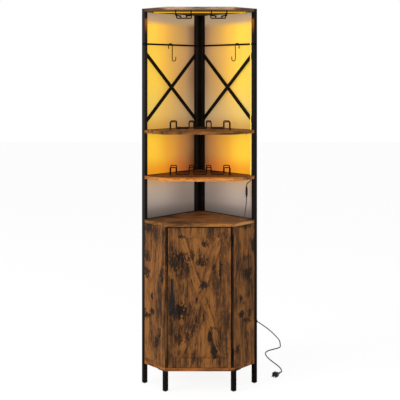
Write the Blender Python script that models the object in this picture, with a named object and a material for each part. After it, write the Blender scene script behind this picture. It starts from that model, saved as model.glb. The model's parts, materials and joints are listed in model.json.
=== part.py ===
"""Corner bar cabinet: a black steel frame for a room corner, with wood boards.

Two flat side frames stand along the two walls.  Each is drawn in its own plan:
u runs along the wall from the wall corner, v runs out from the wall.  Five
pentagon boards tie them together, and the lowest bay is a cupboard with a door.

Metres, +Z up.  The front faces -Y.  The origin is on the floor, under the middle
of the cabinet's box without its free cord.
"""

from collections import namedtuple
from math import atan, cos, pi, radians, sin, sqrt, tan

import bmesh
import bpy
from mathutils import Matrix, Vector

ROOT2 = sqrt(2)

# Overall sizes
WALL_LENGTH = 0.393
SIDE_DEPTH = 0.167
TOTAL_HEIGHT = 1.800
BOARD = 0.015
FIT = 0.0003
OVERRUN = 0.002

# Board heights, each the top surface: three as shares of the whole height
UPPER_SHELF_SHARE = 0.67611
LOWER_SHELF_SHARE = 0.55444
CABINET_TOP_SHARE = 0.43722
BOTTOM_BOARD_TOP = 0.112
INNER_SHELF_SHARE = 0.47110
EDGE_EASE = 0.0007
UPPER_SHELF_TOP = TOTAL_HEIGHT * UPPER_SHELF_SHARE
LOWER_SHELF_TOP = TOTAL_HEIGHT * LOWER_SHELF_SHARE
CABINET_TOP = TOTAL_HEIGHT * CABINET_TOP_SHARE
INNER_SHELF_TOP = BOTTOM_BOARD_TOP + (CABINET_TOP - BOTTOM_BOARD_TOP) * INNER_SHELF_SHARE

# Steel tube frame
TUBE = 0.020
TUBE_WALL = 0.0012
TUBE_CORNER = 0.0022
REAR_POST_START = 0.0203
RAIL_DROP = 0.001
TAB = 0.0020
TAB_WIDTH = 0.020
TAB_REACH = 0.025
TAB_INSET = 0.055

# Tube ends
CAP_PLATE = 0.0025
FOOT_PLUG = 0.012
FOOT_PLATE = 0.006
FOOT_CHAMFER = 0.0035

# Hook rails and cross braces
HOOK_RAIL_RADIUS = 0.0045
HOOK_RAIL_DROP = 0.170
HOOK_RAIL_HEIGHT = TOTAL_HEIGHT - HOOK_RAIL_DROP
HOOK_RAIL_OUT = 0.014
BRACE_WIDTH = 0.015
BRACE_THICKNESS = 0.003
BRACE_OUT = 0.0068
BRACE_UNDER_RAIL = 0.049
BRACE_OVER_SHELF = 0.040
BRACE_TOP = HOOK_RAIL_HEIGHT - BRACE_UNDER_RAIL
BRACE_BOTTOM = UPPER_SHELF_TOP + BRACE_OVER_SHELF
RIVET_RADIUS = 0.0025
RIVET_HEAD_RADIUS = 0.0045
RIVET_HEAD = 0.0015

# Cupboard walls and backs
BACK = 0.003
BACK_END_INSET = 0.004
EDGE_STRIP = 0.0015
LEG_PLATE = 0.050

# Inner shelf
SHELF_SIDE_GAP = 0.001
SHELF_FRONT_SETBACK = 0.016

# Door
DOOR_SIDE_CLEARANCE = 0.0128
DOOR_TOP_GAP = 0.005
DOOR_BOTTOM_GAP = 0.002
DOOR_PANEL = 0.009
DOOR_STILE = 0.048
DOOR_RAIL = 0.046
PLANK_WIDTH = 0.033
PLANK_SPREAD_SHARE = 0.9786
CROSS_SHIFT = 0.005
CROSS_RISE = 0.017

# Hinges
HINGE_HEIGHT = 0.050
HINGE_INSET = 0.060
HINGE_AXIS_INSET = 0.0078
HINGE_FACE_GAP = 0.0052
KNUCKLE_RADIUS = 0.0032
KNUCKLE_COUNT = 3
KNUCKLE_GAP = 0.0004
HINGE_PIN_RADIUS = 0.0015
HINGE_PIN_HEAD_RADIUS = 0.0026
HINGE_PIN_HEAD = 0.0010
LEAF = 0.0012
LEAF_INSET = 0.0008

# Door handle
HANDLE_LENGTH = 0.152
HANDLE_WIDTH = 0.011
HANDLE_DEPTH = 0.009
HANDLE_REACH = 0.030
HANDLE_CENTRE_HEIGHT = 0.457
HANDLE_POST_RADIUS = 0.0045
HANDLE_POST_INSET = 0.014
HANDLE_EDGE_DISTANCE = 0.019
HANDLE_THREAD = 0.007

# Magnetic catch
CATCH_WIDTH = 0.045
CATCH_HEIGHT = 0.014
CATCH_DEPTH = 0.016
CATCH_CENTRE_X = -0.098
STRIKE = 0.0012
STRIKE_WIDTH = 0.036
STRIKE_HEIGHT = 0.012

# Screws: head radius, head height, shank radius, shank length
BOARD_SCREW = (0.0035, 0.0016, 0.0018, 0.012)
HANDLE_SCREW = (0.0042, 0.0020, 0.0020, 0.022)
LEAF_SCREW = (0.0023, 0.0010, 0.0011, 0.012)
SCREW_GAP = 0.0004

# Wine racks
RACK_WIRE = 0.0024
RACK_WIDTH = 0.289
RACK_CENTRE_X = 0.003
RACK_HEIGHT = 0.041
RACK_FRONT_DEPTH = 0.285
RACK_LENGTH = 0.095
RACK_END_LOOP = 0.029
RACK_CRADLE = 0.062
RACK_CRADLE_COUNT = 3
RACK_CRADLE_LIFT = 0.004
RACK_BEND = 0.006

# Stemware racks under the top board
STEM_WIRE = 0.0024
STEM_RACK_CENTRES = {"left_glass_rack": -0.076, "right_glass_rack": 0.092}
STEM_RACK_HALF_WIDTH = 0.0362
STEM_GAP_HALF = 0.0140
STEM_RACK_DROP = 0.0280
STEM_RACK_FRONT = 0.370
STEM_RACK_LENGTH = 0.175
STEM_TIP = 0.007
STEM_BEND = 0.004
STEM_SOCKET_DEPTH = 0.008

# S-hooks
HOOK_WIRE = 0.00175
HOOK_TOP_RADIUS = 0.0102
HOOK_LOW_RADIUS = 0.0097
HOOK_SHANK = 0.0675
HOOK_BACK_END = 0.016
HOOK_TIP = 0.012
HOOK_TURN = radians(20)
HOOK_PLACES = {"left": 0.2175, "right": 0.2755}

# Light strips
STRIP_WIDTH = 0.010
STRIP_HEIGHT = 0.006
STRIP_LEFT = -0.225
STRIP_RIGHT = 0.228

# Lead, its clips and the inline switch
LEAD_RADIUS = 0.0021
LEAD_BEND = 0.016
LEAD_U = 0.3704
LEAD_V = 0.0226
NOTCH_CLEARANCE = 0.0012
BRANCH_SHARE = 0.93
SWITCH_U = 0.3445
SWITCH_DROP = 0.039
SWITCH_TOP = LOWER_SHELF_TOP - BOARD - SWITCH_DROP
SWITCH_LENGTH = 0.055
SWITCH_WIDTH = 0.011
SWITCH_DEPTH = 0.016
SWITCH_END_WIDTH = 0.0068
SWITCH_TAPER = 0.014
SWITCH_EASE = 0.0012
BUTTON_WIDTH = 0.006
BUTTON_HEIGHT = 0.013
BUTTON_DEPTH = 0.003
BUTTON_STANDS_OUT = 0.0014
BUTTON_TRAVEL = 0.0010
LEAD_NOTCH_U = 0.3327
LEAD_TURN_OVER_SWITCH = 0.0095
LEAD_TURN_RISE = 0.018
LEAD_SLANT_UNDER_SWITCH = 0.020
LEAD_SLANT_OVER_TOP = 0.018
LEAD_LOW_U = 0.352
LEAD_SWAY_UNDER_TOP = 0.023
LEAD_SWAY_DROP = 0.164
CORD_EXIT_HEIGHT = 0.292

# Tapered cord relief through the right cupboard back
RELIEF_SHANK = 0.0050
RELIEF_FLANGE = 0.0080
RELIEF_FLANGE_THICKNESS = 0.0014
RELIEF_TAIL = 0.021
RELIEF_TIP = 0.0032

# Free power cord: its route from the relief to the plug, chosen by hand
CORD_RADIUS = 0.0021
CORD_STEP = 0.0145
CORD_ROUTE = [
    (0.2675, -0.0113, 0.2920),
    (0.2710, -0.0078, 0.2920),
    (0.2748, -0.0035, 0.2907),
    (0.2827, 0.0161, 0.2700),
    (0.3137, 0.1261, 0.2232),
    (0.3497, 0.2311, 0.1712),
    (0.3866, 0.3311, 0.1156),
    (0.4208, 0.4161, 0.0610),
    (0.4338, 0.4613, 0.0356),
    (0.4384, 0.4689, 0.0264),
    (0.4417, 0.4689, 0.0140),
    (0.4425, 0.4610, 0.0046),
    (0.4400, 0.4510, 0.0023),
    (0.4244, 0.4258, 0.0023),
    (0.3932, 0.4035, 0.0023),
    (0.3683, 0.3829, 0.0023),
    (0.3527, 0.3563, 0.0023),
    (0.3496, 0.3316, 0.0023),
    (0.3565, 0.2815, 0.0023),
    (0.3764, 0.2179, 0.0023),
    (0.3986, 0.1590, 0.0023),
    (0.4087, 0.1184, 0.0023),
    (0.4090, 0.0812, 0.0026),
    (0.4059, 0.0599, 0.0082),
    (0.3982, 0.0494, 0.0085),
]

# Power plug
PLUG_HEADING = radians(-126)
PLUG_NECK = 0.018
PLUG_BODY = 0.036
PLUG_WIDTH = 0.026
PLUG_THICKNESS = 0.0166
PLUG_NECK_RADIUS = 0.0034
PLUG_SHOULDER = 0.006
PLUG_SHOULDER_SHARE = 0.72
PRONG_LENGTH = 0.016
PRONG_WIDTH = 0.0063
PRONG_THICKNESS = 0.0015
PRONG_SPACING = 0.0127

# Facets of round pieces
ROUND = 12
SMALL_ROUND = 8
CORNER_STEPS = 2
BEND_STEPS = 3
OCTAGON_CUT_SHARE = 0.29
ROUTE_PARTS = 40
SMOOTH_ANGLE = radians(40)
MERGE = FIT / 30
SCREW_SPREAD_SHARE = 0.333

# Looks: colour, roughness, metallic
BLACK_STEEL = ((0.012, 0.012, 0.013), 0.45, 0.6)
RUSTIC_WOOD = ((0.230, 0.105, 0.040), 0.60, 0.0)
BACK_BOARD = ((0.520, 0.430, 0.330), 0.70, 0.0)
BLACK_PLASTIC = ((0.015, 0.015, 0.016), 0.50, 0.0)
LEAD_SHEATH = ((0.700, 0.640, 0.520), 0.45, 0.0)
WARM_LIGHT = ((1.000, 0.760, 0.300), 0.40, 0.0)
ZINC = ((0.550, 0.550, 0.540), 0.35, 1.0)

# Values worked out from the sizes
FRONT_DEPTH = (WALL_LENGTH + SIDE_DEPTH) / ROOT2
REAR_DEPTH = (REAR_POST_START - FIT - BACK) / ROOT2
CORNER_Y = (FRONT_DEPTH + HANDLE_REACH + REAR_DEPTH) / 2
FRONT_Y = CORNER_Y - FRONT_DEPTH
SIDE_POST_START = WALL_LENGTH - TUBE
REAR_POST_END = REAR_POST_START + TUBE
BOARD_REAR = TUBE + FIT
BOARD_TOPS = {
    "top_board": TOTAL_HEIGHT,
    "upper_shelf": UPPER_SHELF_TOP,
    "lower_shelf": LOWER_SHELF_TOP,
    "cabinet_top": CABINET_TOP,
    "bottom_board": BOTTOM_BOARD_TOP,
}
RAIL_TOPS = {**BOARD_TOPS, "inner_shelf": INNER_SHELF_TOP}
CUPBOARD_FLOOR = BOTTOM_BOARD_TOP
CUPBOARD_CEILING = CABINET_TOP - BOARD
DOOR_BOTTOM = CUPBOARD_FLOOR + DOOR_BOTTOM_GAP
DOOR_TOP = CUPBOARD_CEILING - DOOR_TOP_GAP
DOOR_FRAME = BOARD - DOOR_PANEL - FIT
DOOR_FACE_Y = FRONT_Y
DOOR_PANEL_FRONT_Y = FRONT_Y + DOOR_FRAME + FIT
DOOR_BACK_Y = FRONT_Y + BOARD
HALF_FRONT = (WALL_LENGTH - SIDE_DEPTH) / ROOT2
DOOR_WIDTH = 2 * (HALF_FRONT - DOOR_SIDE_CLEARANCE)
HINGE_AXIS_X = HALF_FRONT - HINGE_AXIS_INSET
HINGE_AXIS_Y = CORNER_Y - (HINGE_AXIS_X + (SIDE_DEPTH + HINGE_FACE_GAP) * ROOT2)
HINGE_HEIGHTS = {"lower_hinge": DOOR_BOTTOM + HINGE_INSET, "upper_hinge": DOOR_TOP - HINGE_INSET}

Side = namedtuple("Side", "name sign out turn")
LEFT = Side("left", -1, 1, radians(225))
RIGHT = Side("right", 1, -1, radians(-45))


def clear_scene():
    """Removes every object that the file holds."""
    for item in list(bpy.data.objects):
        bpy.data.objects.remove(item, do_unlink=True)


def finish(name, look):
    """Returns a new Principled material for one sub-part."""
    colour, roughness, metallic = look
    material = bpy.data.materials.new(name + "_finish")
    material.use_nodes = True
    shader = material.node_tree.nodes["Principled BSDF"]
    shader.inputs["Base Color"].default_value = (*colour, 1)
    shader.inputs["Roughness"].default_value = roughness
    shader.inputs["Metallic"].default_value = metallic
    material.diffuse_color = (*colour, 1)
    return material


def place(name, data, look, parent=None, location=(0, 0, 0), turn=0):
    """Links a mesh or curve as a named object with its own finish."""
    item = bpy.data.objects.new(name, data)
    bpy.context.scene.collection.objects.link(item)
    data.materials.append(finish(name, look))
    item.parent = parent
    item.location = location
    item.rotation_euler.z = turn
    return item


def guide(name, location, turn=0):
    """Adds an empty that carries other objects."""
    item = bpy.data.objects.new(name, None)
    bpy.context.scene.collection.objects.link(item)
    item.location = location
    item.rotation_euler.z = turn
    return item


def cutter(name, data, parent=None, location=(0, 0, 0), turn=0):
    """Adds an object that only cuts others."""
    item = place(name, data, ZINC, parent, location, turn)
    item.hide_render = True
    item.display_type = "WIRE"
    return item


def boolean(item, tool, operation):
    """Cuts or joins an object with another."""
    modifier = item.modifiers.new(tool.name, "BOOLEAN")
    modifier.operation = operation
    modifier.object = tool
    modifier.solver = "EXACT"


def ease(item, width):
    """Takes the sharpness off an object's edges."""
    modifier = item.modifiers.new("ease", "BEVEL")
    modifier.width = width
    modifier.segments = 1
    modifier.limit_method = "ANGLE"


def mesh_of(name, shapes, smooth=False):
    """Joins bmesh shapes into one mesh with its faces pointing out."""
    whole = bmesh.new()
    for shape in shapes:
        part = bpy.data.meshes.new(name)
        shape.to_mesh(part)
        shape.free()
        whole.from_mesh(part)
        bpy.data.meshes.remove(part)
    bmesh.ops.recalc_face_normals(whole, faces=whole.faces)
    mesh = bpy.data.meshes.new(name)
    whole.to_mesh(mesh)
    whole.free()
    if smooth:
        mesh.shade_smooth()
        mesh.set_sharp_from_angle(angle=SMOOTH_ANGLE)
    return mesh


def moved(shape, matrix):
    """Moves a bmesh shape and returns it."""
    bmesh.ops.transform(shape, matrix=matrix, verts=shape.verts)
    return shape


def prism(outline, bottom, top):
    """Returns an upright prism over an outline of (x, y) points."""
    shape = bmesh.new()
    base = shape.faces.new([shape.verts.new((x, y, bottom)) for x, y in outline])
    raised = bmesh.ops.extrude_face_region(shape, geom=[base], use_keep_orig=True)
    verts = [part for part in raised["geom"] if isinstance(part, bmesh.types.BMVert)]
    bmesh.ops.translate(shape, verts=verts, vec=(0, 0, top - bottom))
    return shape


def block(low, high):
    """Returns a box between two corners."""
    outline = [(low[0], low[1]), (high[0], low[1]), (high[0], high[1]), (low[0], high[1])]
    return prism(outline, low[2], high[2])


def cylinder(radius, bottom, top, steps=SMALL_ROUND):
    """Returns an upright cylinder on the Z axis."""
    half = pi / steps
    outline = [
        (radius * cos(half + 2 * pi * step / steps), radius * sin(half + 2 * pi * step / steps))
        for step in range(steps)
    ]
    return prism(outline, bottom, top)


def turned(profile, steps=SMALL_ROUND):
    """Returns a body turned about Z from (radius, height) points, axis to axis."""
    shape = bmesh.new()
    verts = [shape.verts.new((radius, 0, height)) for radius, height in profile]
    edges = [shape.edges.new(pair) for pair in zip(verts, verts[1:])]
    bmesh.ops.spin(
        shape,
        geom=verts + edges,
        cent=(0, 0, 0),
        axis=(0, 0, 1),
        angle=2 * pi,
        steps=steps,
        use_merge=True,
    )
    bmesh.ops.remove_doubles(shape, verts=shape.verts, dist=MERGE)
    return shape


def rounded_rectangle(width, depth, corner):
    """Returns the outline of a rectangle with round corners, about its centre."""
    outline = []
    for quarter in range(4):
        angle = quarter * pi / 2
        x_side = 1 if quarter in (0, 3) else -1
        y_side = 1 if quarter in (0, 1) else -1
        for step in range(CORNER_STEPS + 1):
            bend = angle + step * pi / (2 * CORNER_STEPS)
            x = x_side * (width / 2 - corner) + corner * cos(bend)
            y = y_side * (depth / 2 - corner) + corner * sin(bend)
            outline.append((x, y))
    return outline


def square_tube(width, depth, length):
    """Returns a hollow tube along Z with round outer corners."""
    wall = TUBE_WALL
    outer = rounded_rectangle(width, depth, TUBE_CORNER)
    inner = rounded_rectangle(width - 2 * wall, depth - 2 * wall, TUBE_CORNER - wall)
    shape = bmesh.new()
    rings = []
    for outline, height in ((outer, 0), (outer, length), (inner, length), (inner, 0)):
        rings.append([shape.verts.new((x, y, height)) for x, y in outline])
    for ring, following in zip(rings, rings[1:] + rings[:1]):
        for index in range(len(outer)):
            near = index - 1
            shape.faces.new((ring[near], ring[index], following[index], following[near]))
    return shape


def clip_outline(outline, point, normal):
    """Cuts a convex outline and keeps the side that the normal points away from."""
    kept = []
    for start, end in zip(outline, outline[1:] + outline[:1]):
        start_out = (start[0] - point[0]) * normal[0] + (start[1] - point[1]) * normal[1]
        end_out = (end[0] - point[0]) * normal[0] + (end[1] - point[1]) * normal[1]
        if start_out <= 0:
            kept.append(start)
        if (start_out < 0 < end_out) or (end_out < 0 < start_out):
            share = start_out / (start_out - end_out)
            x = start[0] + share * (end[0] - start[0])
            y = start[1] + share * (end[1] - start[1])
            kept.append((x, y))
    return kept


def rounded_route(corners, radius, closed=False):
    """Rounds the corners of a route of points with arcs of up to one radius."""
    corners = [Vector(corner) for corner in corners]
    count = len(corners)
    route = []
    for index, corner in enumerate(corners):
        if not closed and index in (0, count - 1):
            route.append(corner)
            continue
        before = (corners[index - 1] - corner).normalized()
        after = (corners[(index + 1) % count] - corner).normalized()
        half = before.angle(after) / 2
        reach = radius / tan(half)
        centre = corner + (before + after).normalized() * radius / sin(half)
        start = corner + before * reach - centre
        end = corner + after * reach - centre
        sweep = start.angle(end)
        for step in range(BEND_STEPS + 1):
            share = step / BEND_STEPS
            blend = (start * sin((1 - share) * sweep) + end * sin(share * sweep)) / sin(sweep)
            route.append(centre + blend)
    return route


def smooth_route(points, spacing, floor):
    """Returns points on a smooth curve that stays over a floor height, its ends straight."""
    points = [Vector(point) for point in points]
    spans = [(end - start).length for start, end in zip(points, points[1:])]
    slopes = [(end - start) / span for start, end, span in zip(points, points[1:], spans)]
    inner = [
        (slopes[k] * spans[k + 1] + slopes[k + 1] * spans[k]) / (spans[k] + spans[k + 1])
        for k in range(1, len(spans) - 2)
    ]
    tangents = [slopes[0]] + inner + [slopes[-1]]
    fine = []
    for k, (near, far) in enumerate(zip(points[1:-2], points[2:-1])):
        span = spans[k + 1]
        for part in range(ROUTE_PARTS):
            t = part / ROUTE_PARTS
            fine.append(
                near * (1 + 2 * t) * (1 - t) ** 2
                + far * t * t * (3 - 2 * t)
                + tangents[k] * span * t * (1 - t) ** 2
                - tangents[k + 1] * span * t * t * (1 - t)
            )
    fine.append(points[-2])
    for point in fine:
        point.z = max(point.z, floor)
    length = sum((far - near).length for near, far in zip(fine, fine[1:]))
    count = round(length / spacing)
    even = [points[0], fine[0]]
    walked = 0
    for near, far in zip(fine, fine[1:]):
        stretch = (far - near).length
        while len(even) <= count and walked + stretch >= (len(even) - 1) * length / count:
            share = ((len(even) - 1) * length / count - walked) / stretch
            even.append(near.lerp(far, share))
        walked += stretch
    return even + [fine[-1], points[-1]]


def wire(name, routes, radius, sides_step, closed=False):
    """Returns a curve of round wire along each route, with filled ends."""
    curve = bpy.data.curves.new(name, "CURVE")
    curve.dimensions = "3D"
    curve.bevel_depth = radius
    curve.bevel_resolution = sides_step
    curve.use_fill_caps = True
    for route in routes:
        line = curve.splines.new("POLY")
        line.points.add(len(route) - 1)
        for point, place_on in zip(line.points, route):
            point.co = (*place_on, 1)
        line.use_cyclic_u = closed
        line.use_smooth = True
    return curve


def screw(size, length=None):
    """Returns a screw along Z, its head's outer face at zero and its shank upward."""
    head_radius, head, shank_radius, shank = size
    tip = head + (length or shank)
    profile = [(0, 0), (head_radius, 0), (head_radius, head), (shank_radius, head)]
    return turned(profile + [(shank_radius, tip), (0, tip)])


def plan(side, u, v):
    """Returns the world (x, y) of a side frame's plan point."""
    return (side.sign * (u - v) / ROOT2, CORNER_Y - (u + v) / ROOT2)


def wall_point(side, u, v, height):
    """Returns the world point of a side frame's plan point at a height."""
    return Vector((*plan(side, u, v), height))


def plan_matrix(side, u, v, height):
    """Returns the world place of a piece drawn in a side frame's plan."""
    return Matrix.Translation(wall_point(side, u, v, height)) @ Matrix.Rotation(side.turn, 4, "Z")


def frame_block(side, low, high):
    """Returns a box between two (u, v, height) corners, in a side frame's own axes."""
    near, far = sorted((side.out * low[1], side.out * high[1]))
    return block((low[0], near, low[2]), (high[0], far, high[2]))


def bar_along_z(width, depth, bottom, top, wall=0):
    """Returns a solid bar along Z, drawn in by a wall's thickness on each side."""
    corner = max(TUBE_CORNER - wall, FIT)
    return prism(rounded_rectangle(width - 2 * wall, depth - 2 * wall, corner), bottom, top)


def post_bars(side, wall, top):
    """Returns the two standing bars of a side frame, in its own axes."""
    bars = []
    for start in (REAR_POST_START, SIDE_POST_START):
        bar = bar_along_z(TUBE, TUBE, FOOT_PLATE + FIT - wall, top, wall)
        bars.append(moved(bar, Matrix.Translation((start + TUBE / 2, side.out * TUBE / 2, 0))))
    return bars


def rail_bars(side, wall, overlap):
    """Returns the level bars of a side frame, which run into its posts by an overlap."""
    height = BOARD + RAIL_DROP
    bars = []
    for top in RAIL_TOPS.values():
        bar = bar_along_z(height, TUBE - 2 * FIT, REAR_POST_END - overlap, SIDE_POST_START + overlap, wall)
        middle = Vector((0, side.out * TUBE / 2, top - height / 2))
        bars.append(moved(bar, Matrix.Translation(middle) @ Matrix.Rotation(pi / 2, 4, "Y")))
    return bars


def tabs_and_holes(side):
    """Returns the tabs under the boards and the cutters for their screw holes."""
    tabs = []
    holes = []
    for top in RAIL_TOPS.values():
        under = top - BOARD - FIT
        for middle in tab_spots():
            low = (middle - TAB_WIDTH / 2, TUBE_CORNER, under - TAB)
            high = (middle + TAB_WIDTH / 2, TUBE + TAB_REACH, under)
            tabs.append(frame_block(side, low, high))
            spot = Vector((middle, side.out * (TUBE + TAB_REACH / 2), 0))
            hole = cylinder(BOARD_SCREW[2] + SCREW_GAP, under - 2 * TAB, under + TAB)
            holes.append(moved(hole, Matrix.Translation(spot)))
    return tabs, holes


def make_weldment(side, frame):
    """Makes a side frame: posts, board rails, tabs and hook rail, welded into one piece."""
    name = side.name + "_side_frame"
    overlap = TUBE_WALL / 2
    welded = place(name, mesh_of(name, post_bars(side, 0, TOTAL_HEIGHT)), BLACK_STEEL, frame)
    rails = cutter(name + "_rails", mesh_of("rails", rail_bars(side, 0, overlap)), frame)
    tabs, holes = tabs_and_holes(side)
    tab_set = cutter(name + "_tabs", mesh_of("tabs", tabs), frame)
    bores = cutter(name + "_rail_bores", mesh_of("bores", rail_bars(side, TUBE_WALL, TUBE / 2)), frame)
    wells = post_bars(side, TUBE_WALL, TOTAL_HEIGHT - CAP_PLATE)
    well_set = cutter(name + "_post_bores", mesh_of("wells", wells), frame)
    hole_set = cutter(name + "_screw_holes", mesh_of("holes", holes), frame)
    hook_rail = cylinder(HOOK_RAIL_RADIUS, REAR_POST_END - overlap, SIDE_POST_START + overlap, ROUND)
    height = Matrix.Translation((0, side.out * HOOK_RAIL_OUT, HOOK_RAIL_HEIGHT))
    moved(hook_rail, height @ Matrix.Rotation(pi / 2, 4, "Y"))
    rail = cutter(name + "_hook_rail", mesh_of("hook_rail", [hook_rail], smooth=True), frame)
    for tool in (rails, tab_set, rail):
        boolean(welded, tool, "UNION")
    for tool in (well_set, bores, hole_set):
        boolean(welded, tool, "DIFFERENCE")


def make_front_leg(side, frame):
    """Makes the short front leg with its square plate under the bottom board."""
    name = side.name + "_front_leg"
    plate_top = BOTTOM_BOARD_TOP - BOARD - FIT
    plate_bottom = plate_top - TAB
    foot_top = FOOT_PLATE + FIT
    tube = square_tube(TUBE, TUBE, plate_bottom + TAB / 2 - foot_top)
    middle = (SIDE_POST_START + TUBE / 2, side.out * (SIDE_DEPTH - TUBE / 2), foot_top)
    leg = place(name, mesh_of(name, [tube]), BLACK_STEEL, frame, middle)
    plate = frame_block(
        side,
        (WALL_LENGTH - LEG_PLATE, SIDE_DEPTH - LEG_PLATE, plate_bottom),
        (WALL_LENGTH, SIDE_DEPTH, plate_top),
    )
    holes = []
    for spot in leg_screw_spots(side):
        hole = cylinder(BOARD_SCREW[2] + SCREW_GAP, plate_bottom - TAB, plate_top + TAB)
        holes.append(moved(hole, Matrix.Translation(spot)))
    carrier = cutter(name + "_plate", mesh_of("plate", [plate]), frame)
    boolean(carrier, cutter(name + "_holes", mesh_of("holes", holes), frame), "DIFFERENCE")
    boolean(leg, carrier, "UNION")


def leg_screw_spots(side):
    """Returns where a front leg's two screws stand, in the side frame's own axes."""
    inset = (LEG_PLATE - TUBE) / 2
    return [
        Vector((WALL_LENGTH - LEG_PLATE + inset, side.out * (SIDE_DEPTH - inset), 0)),
        Vector((WALL_LENGTH - inset, side.out * (SIDE_DEPTH - LEG_PLATE + inset), 0)),
    ]


def tab_spots():
    """Returns where along a rail its two tabs lie."""
    return (REAR_POST_END + TAB_INSET, SIDE_POST_START - TAB_INSET)


def make_cross_brace(side, frame):
    """Makes the two flat bars that cross between the posts, and the rivet that joins them."""
    start = REAR_POST_END + FIT
    end = SIDE_POST_START - FIT
    rise = BRACE_TOP - BRACE_BOTTOM
    half = BRACE_WIDTH * sqrt(1 + (rise / (end - start)) ** 2) / 2
    front = BRACE_OUT + BRACE_THICKNESS + FIT
    centre = upright(side) @ Matrix.Translation(brace_centre())
    bars = {
        "_falling_brace": (BRACE_OUT, BRACE_TOP, BRACE_BOTTOM),
        "_rising_brace": (front, BRACE_BOTTOM, BRACE_TOP),
    }
    for ending, (out, near, far) in bars.items():
        name = side.name + ending
        outline = [(start, near - half), (end, far - half), (end, far + half), (start, near + half)]
        bar = moved(prism(outline, out, out + BRACE_THICKNESS), upright(side))
        brace = place(name, mesh_of(name, [bar]), BLACK_STEEL, frame)
        hole = cylinder(RIVET_RADIUS + FIT, BRACE_OUT - OVERRUN, front + BRACE_THICKNESS + OVERRUN)
        tool = cutter(name + "_hole", mesh_of("hole", [moved(hole, centre)]), frame)
        boolean(brace, tool, "DIFFERENCE")
    inner = BRACE_OUT - FIT
    outer = front + BRACE_THICKNESS + FIT
    profile = [
        (0, inner - RIVET_HEAD),
        (RIVET_HEAD_RADIUS, inner - RIVET_HEAD),
        (RIVET_HEAD_RADIUS, inner),
        (RIVET_RADIUS, inner),
        (RIVET_RADIUS, outer),
        (RIVET_HEAD_RADIUS, outer),
        (RIVET_HEAD_RADIUS, outer + RIVET_HEAD),
        (0, outer + RIVET_HEAD),
    ]
    name = side.name + "_brace_rivet"
    place(name, mesh_of(name, [moved(turned(profile), centre)]), BLACK_STEEL, frame)


def upright(side):
    """Returns the turn that stands a (u, height, v) drawing up in a side frame."""
    return Matrix(((1, 0, 0, 0), (0, 0, side.out, 0), (0, 1, 0, 0), (0, 0, 0, 1)))


def brace_centre():
    """Returns where the cross brace's bars meet, as (u, height, v)."""
    middle = (REAR_POST_END + SIDE_POST_START) / 2
    return Vector((middle, (BRACE_TOP + BRACE_BOTTOM) / 2, 0))


def tube_places():
    """Returns each standing tube's foot name, side and plan corner."""
    places = []
    for side in (LEFT, RIGHT):
        places.append((side.name + "_side_foot", side, SIDE_POST_START, 0))
        places.append((side.name + "_rear_foot", side, REAR_POST_START, 0))
        places.append((side.name + "_front_foot", side, SIDE_POST_START, SIDE_DEPTH - TUBE))
    return places


def loft(sections):
    """Returns a closed body through sections of equally many points, capped at both ends."""
    shape = bmesh.new()
    rings = [[shape.verts.new(point) for point in section] for section in sections]
    for ring, following in zip(rings, rings[1:]):
        for index in range(len(ring)):
            near = index - 1
            shape.faces.new((ring[near], ring[index], following[index], following[near]))
    shape.faces.new(rings[0])
    shape.faces.new(rings[-1])
    return shape


def oblong(half_x, half_y, height):
    """Returns the corners of a level rectangle about the Z axis."""
    return [(x, y, height) for x, y in rectangle(-half_x, half_x, -half_y, half_y)]


def make_feet():
    """Makes the plastic feet: flush plugs with a chamfered tread."""
    plug = TUBE / 2 - TUBE_WALL - FIT
    profile = (
        (TUBE / 2 - FOOT_CHAMFER, 0),
        (TUBE / 2, FOOT_CHAMFER),
        (TUBE / 2, FOOT_PLATE),
        (plug, FOOT_PLATE),
        (plug, FOOT_PLATE + FOOT_PLUG),
    )
    for name, side, start, out in tube_places():
        sections = [oblong(half, half, height) for half, height in profile]
        spot = plan_matrix(side, start + TUBE / 2, out + TUBE / 2, 0)
        place(name, mesh_of(name, [moved(loft(sections), spot)]), BLACK_PLASTIC)


def board_outline():
    """Returns the pentagon that the five outer boards share, as world (x, y) points."""
    rear = plan(RIGHT, BOARD_REAR, BOARD_REAR)
    right = [plan(RIGHT, WALL_LENGTH, BOARD_REAR), plan(RIGHT, WALL_LENGTH, SIDE_DEPTH)]
    left = [plan(LEFT, WALL_LENGTH, SIDE_DEPTH), plan(LEFT, WALL_LENGTH, BOARD_REAR)]
    return [rear] + right + left


def tab_screw_places():
    """Returns the world place of each board screw, head down at its tab's underside."""
    places = []
    for name, top in RAIL_TOPS.items():
        under = top - BOARD - FIT - TAB - FIT - BOARD_SCREW[1]
        for side in (LEFT, RIGHT):
            for middle in tab_spots():
                places.append((name, plan_matrix(side, middle, TUBE + TAB_REACH / 2, under)))
    return places


def leg_screw_places():
    """Returns the world place of each front leg's screws, heads under the plate."""
    under = BOTTOM_BOARD_TOP - BOARD - FIT - TAB - FIT - BOARD_SCREW[1]
    places = []
    for side in (LEFT, RIGHT):
        for spot in leg_screw_spots(side):
            places.append(plan_matrix(side, spot.x, side.out * spot.y, under))
    return places


def catch_screw_places():
    """Returns the world place of the magnetic catch's two screws."""
    under = CUPBOARD_CEILING - FIT - CATCH_HEIGHT - FIT - BOARD_SCREW[1]
    middle_y = catch_front() + CATCH_DEPTH / 2
    return [
        Matrix.Translation((CATCH_CENTRE_X + hand * CATCH_WIDTH * SCREW_SPREAD_SHARE, middle_y, under))
        for hand in (-1, 1)
    ]


def pilot(matrix, length=0):
    """Returns a cutter for a screw's hole, at the screw's place."""
    shank = BOARD_SCREW[3] + length
    hole = cylinder(BOARD_SCREW[2] + SCREW_GAP, BOARD_SCREW[1] - FIT, BOARD_SCREW[1] + shank + FIT)
    return moved(hole, matrix)


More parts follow.
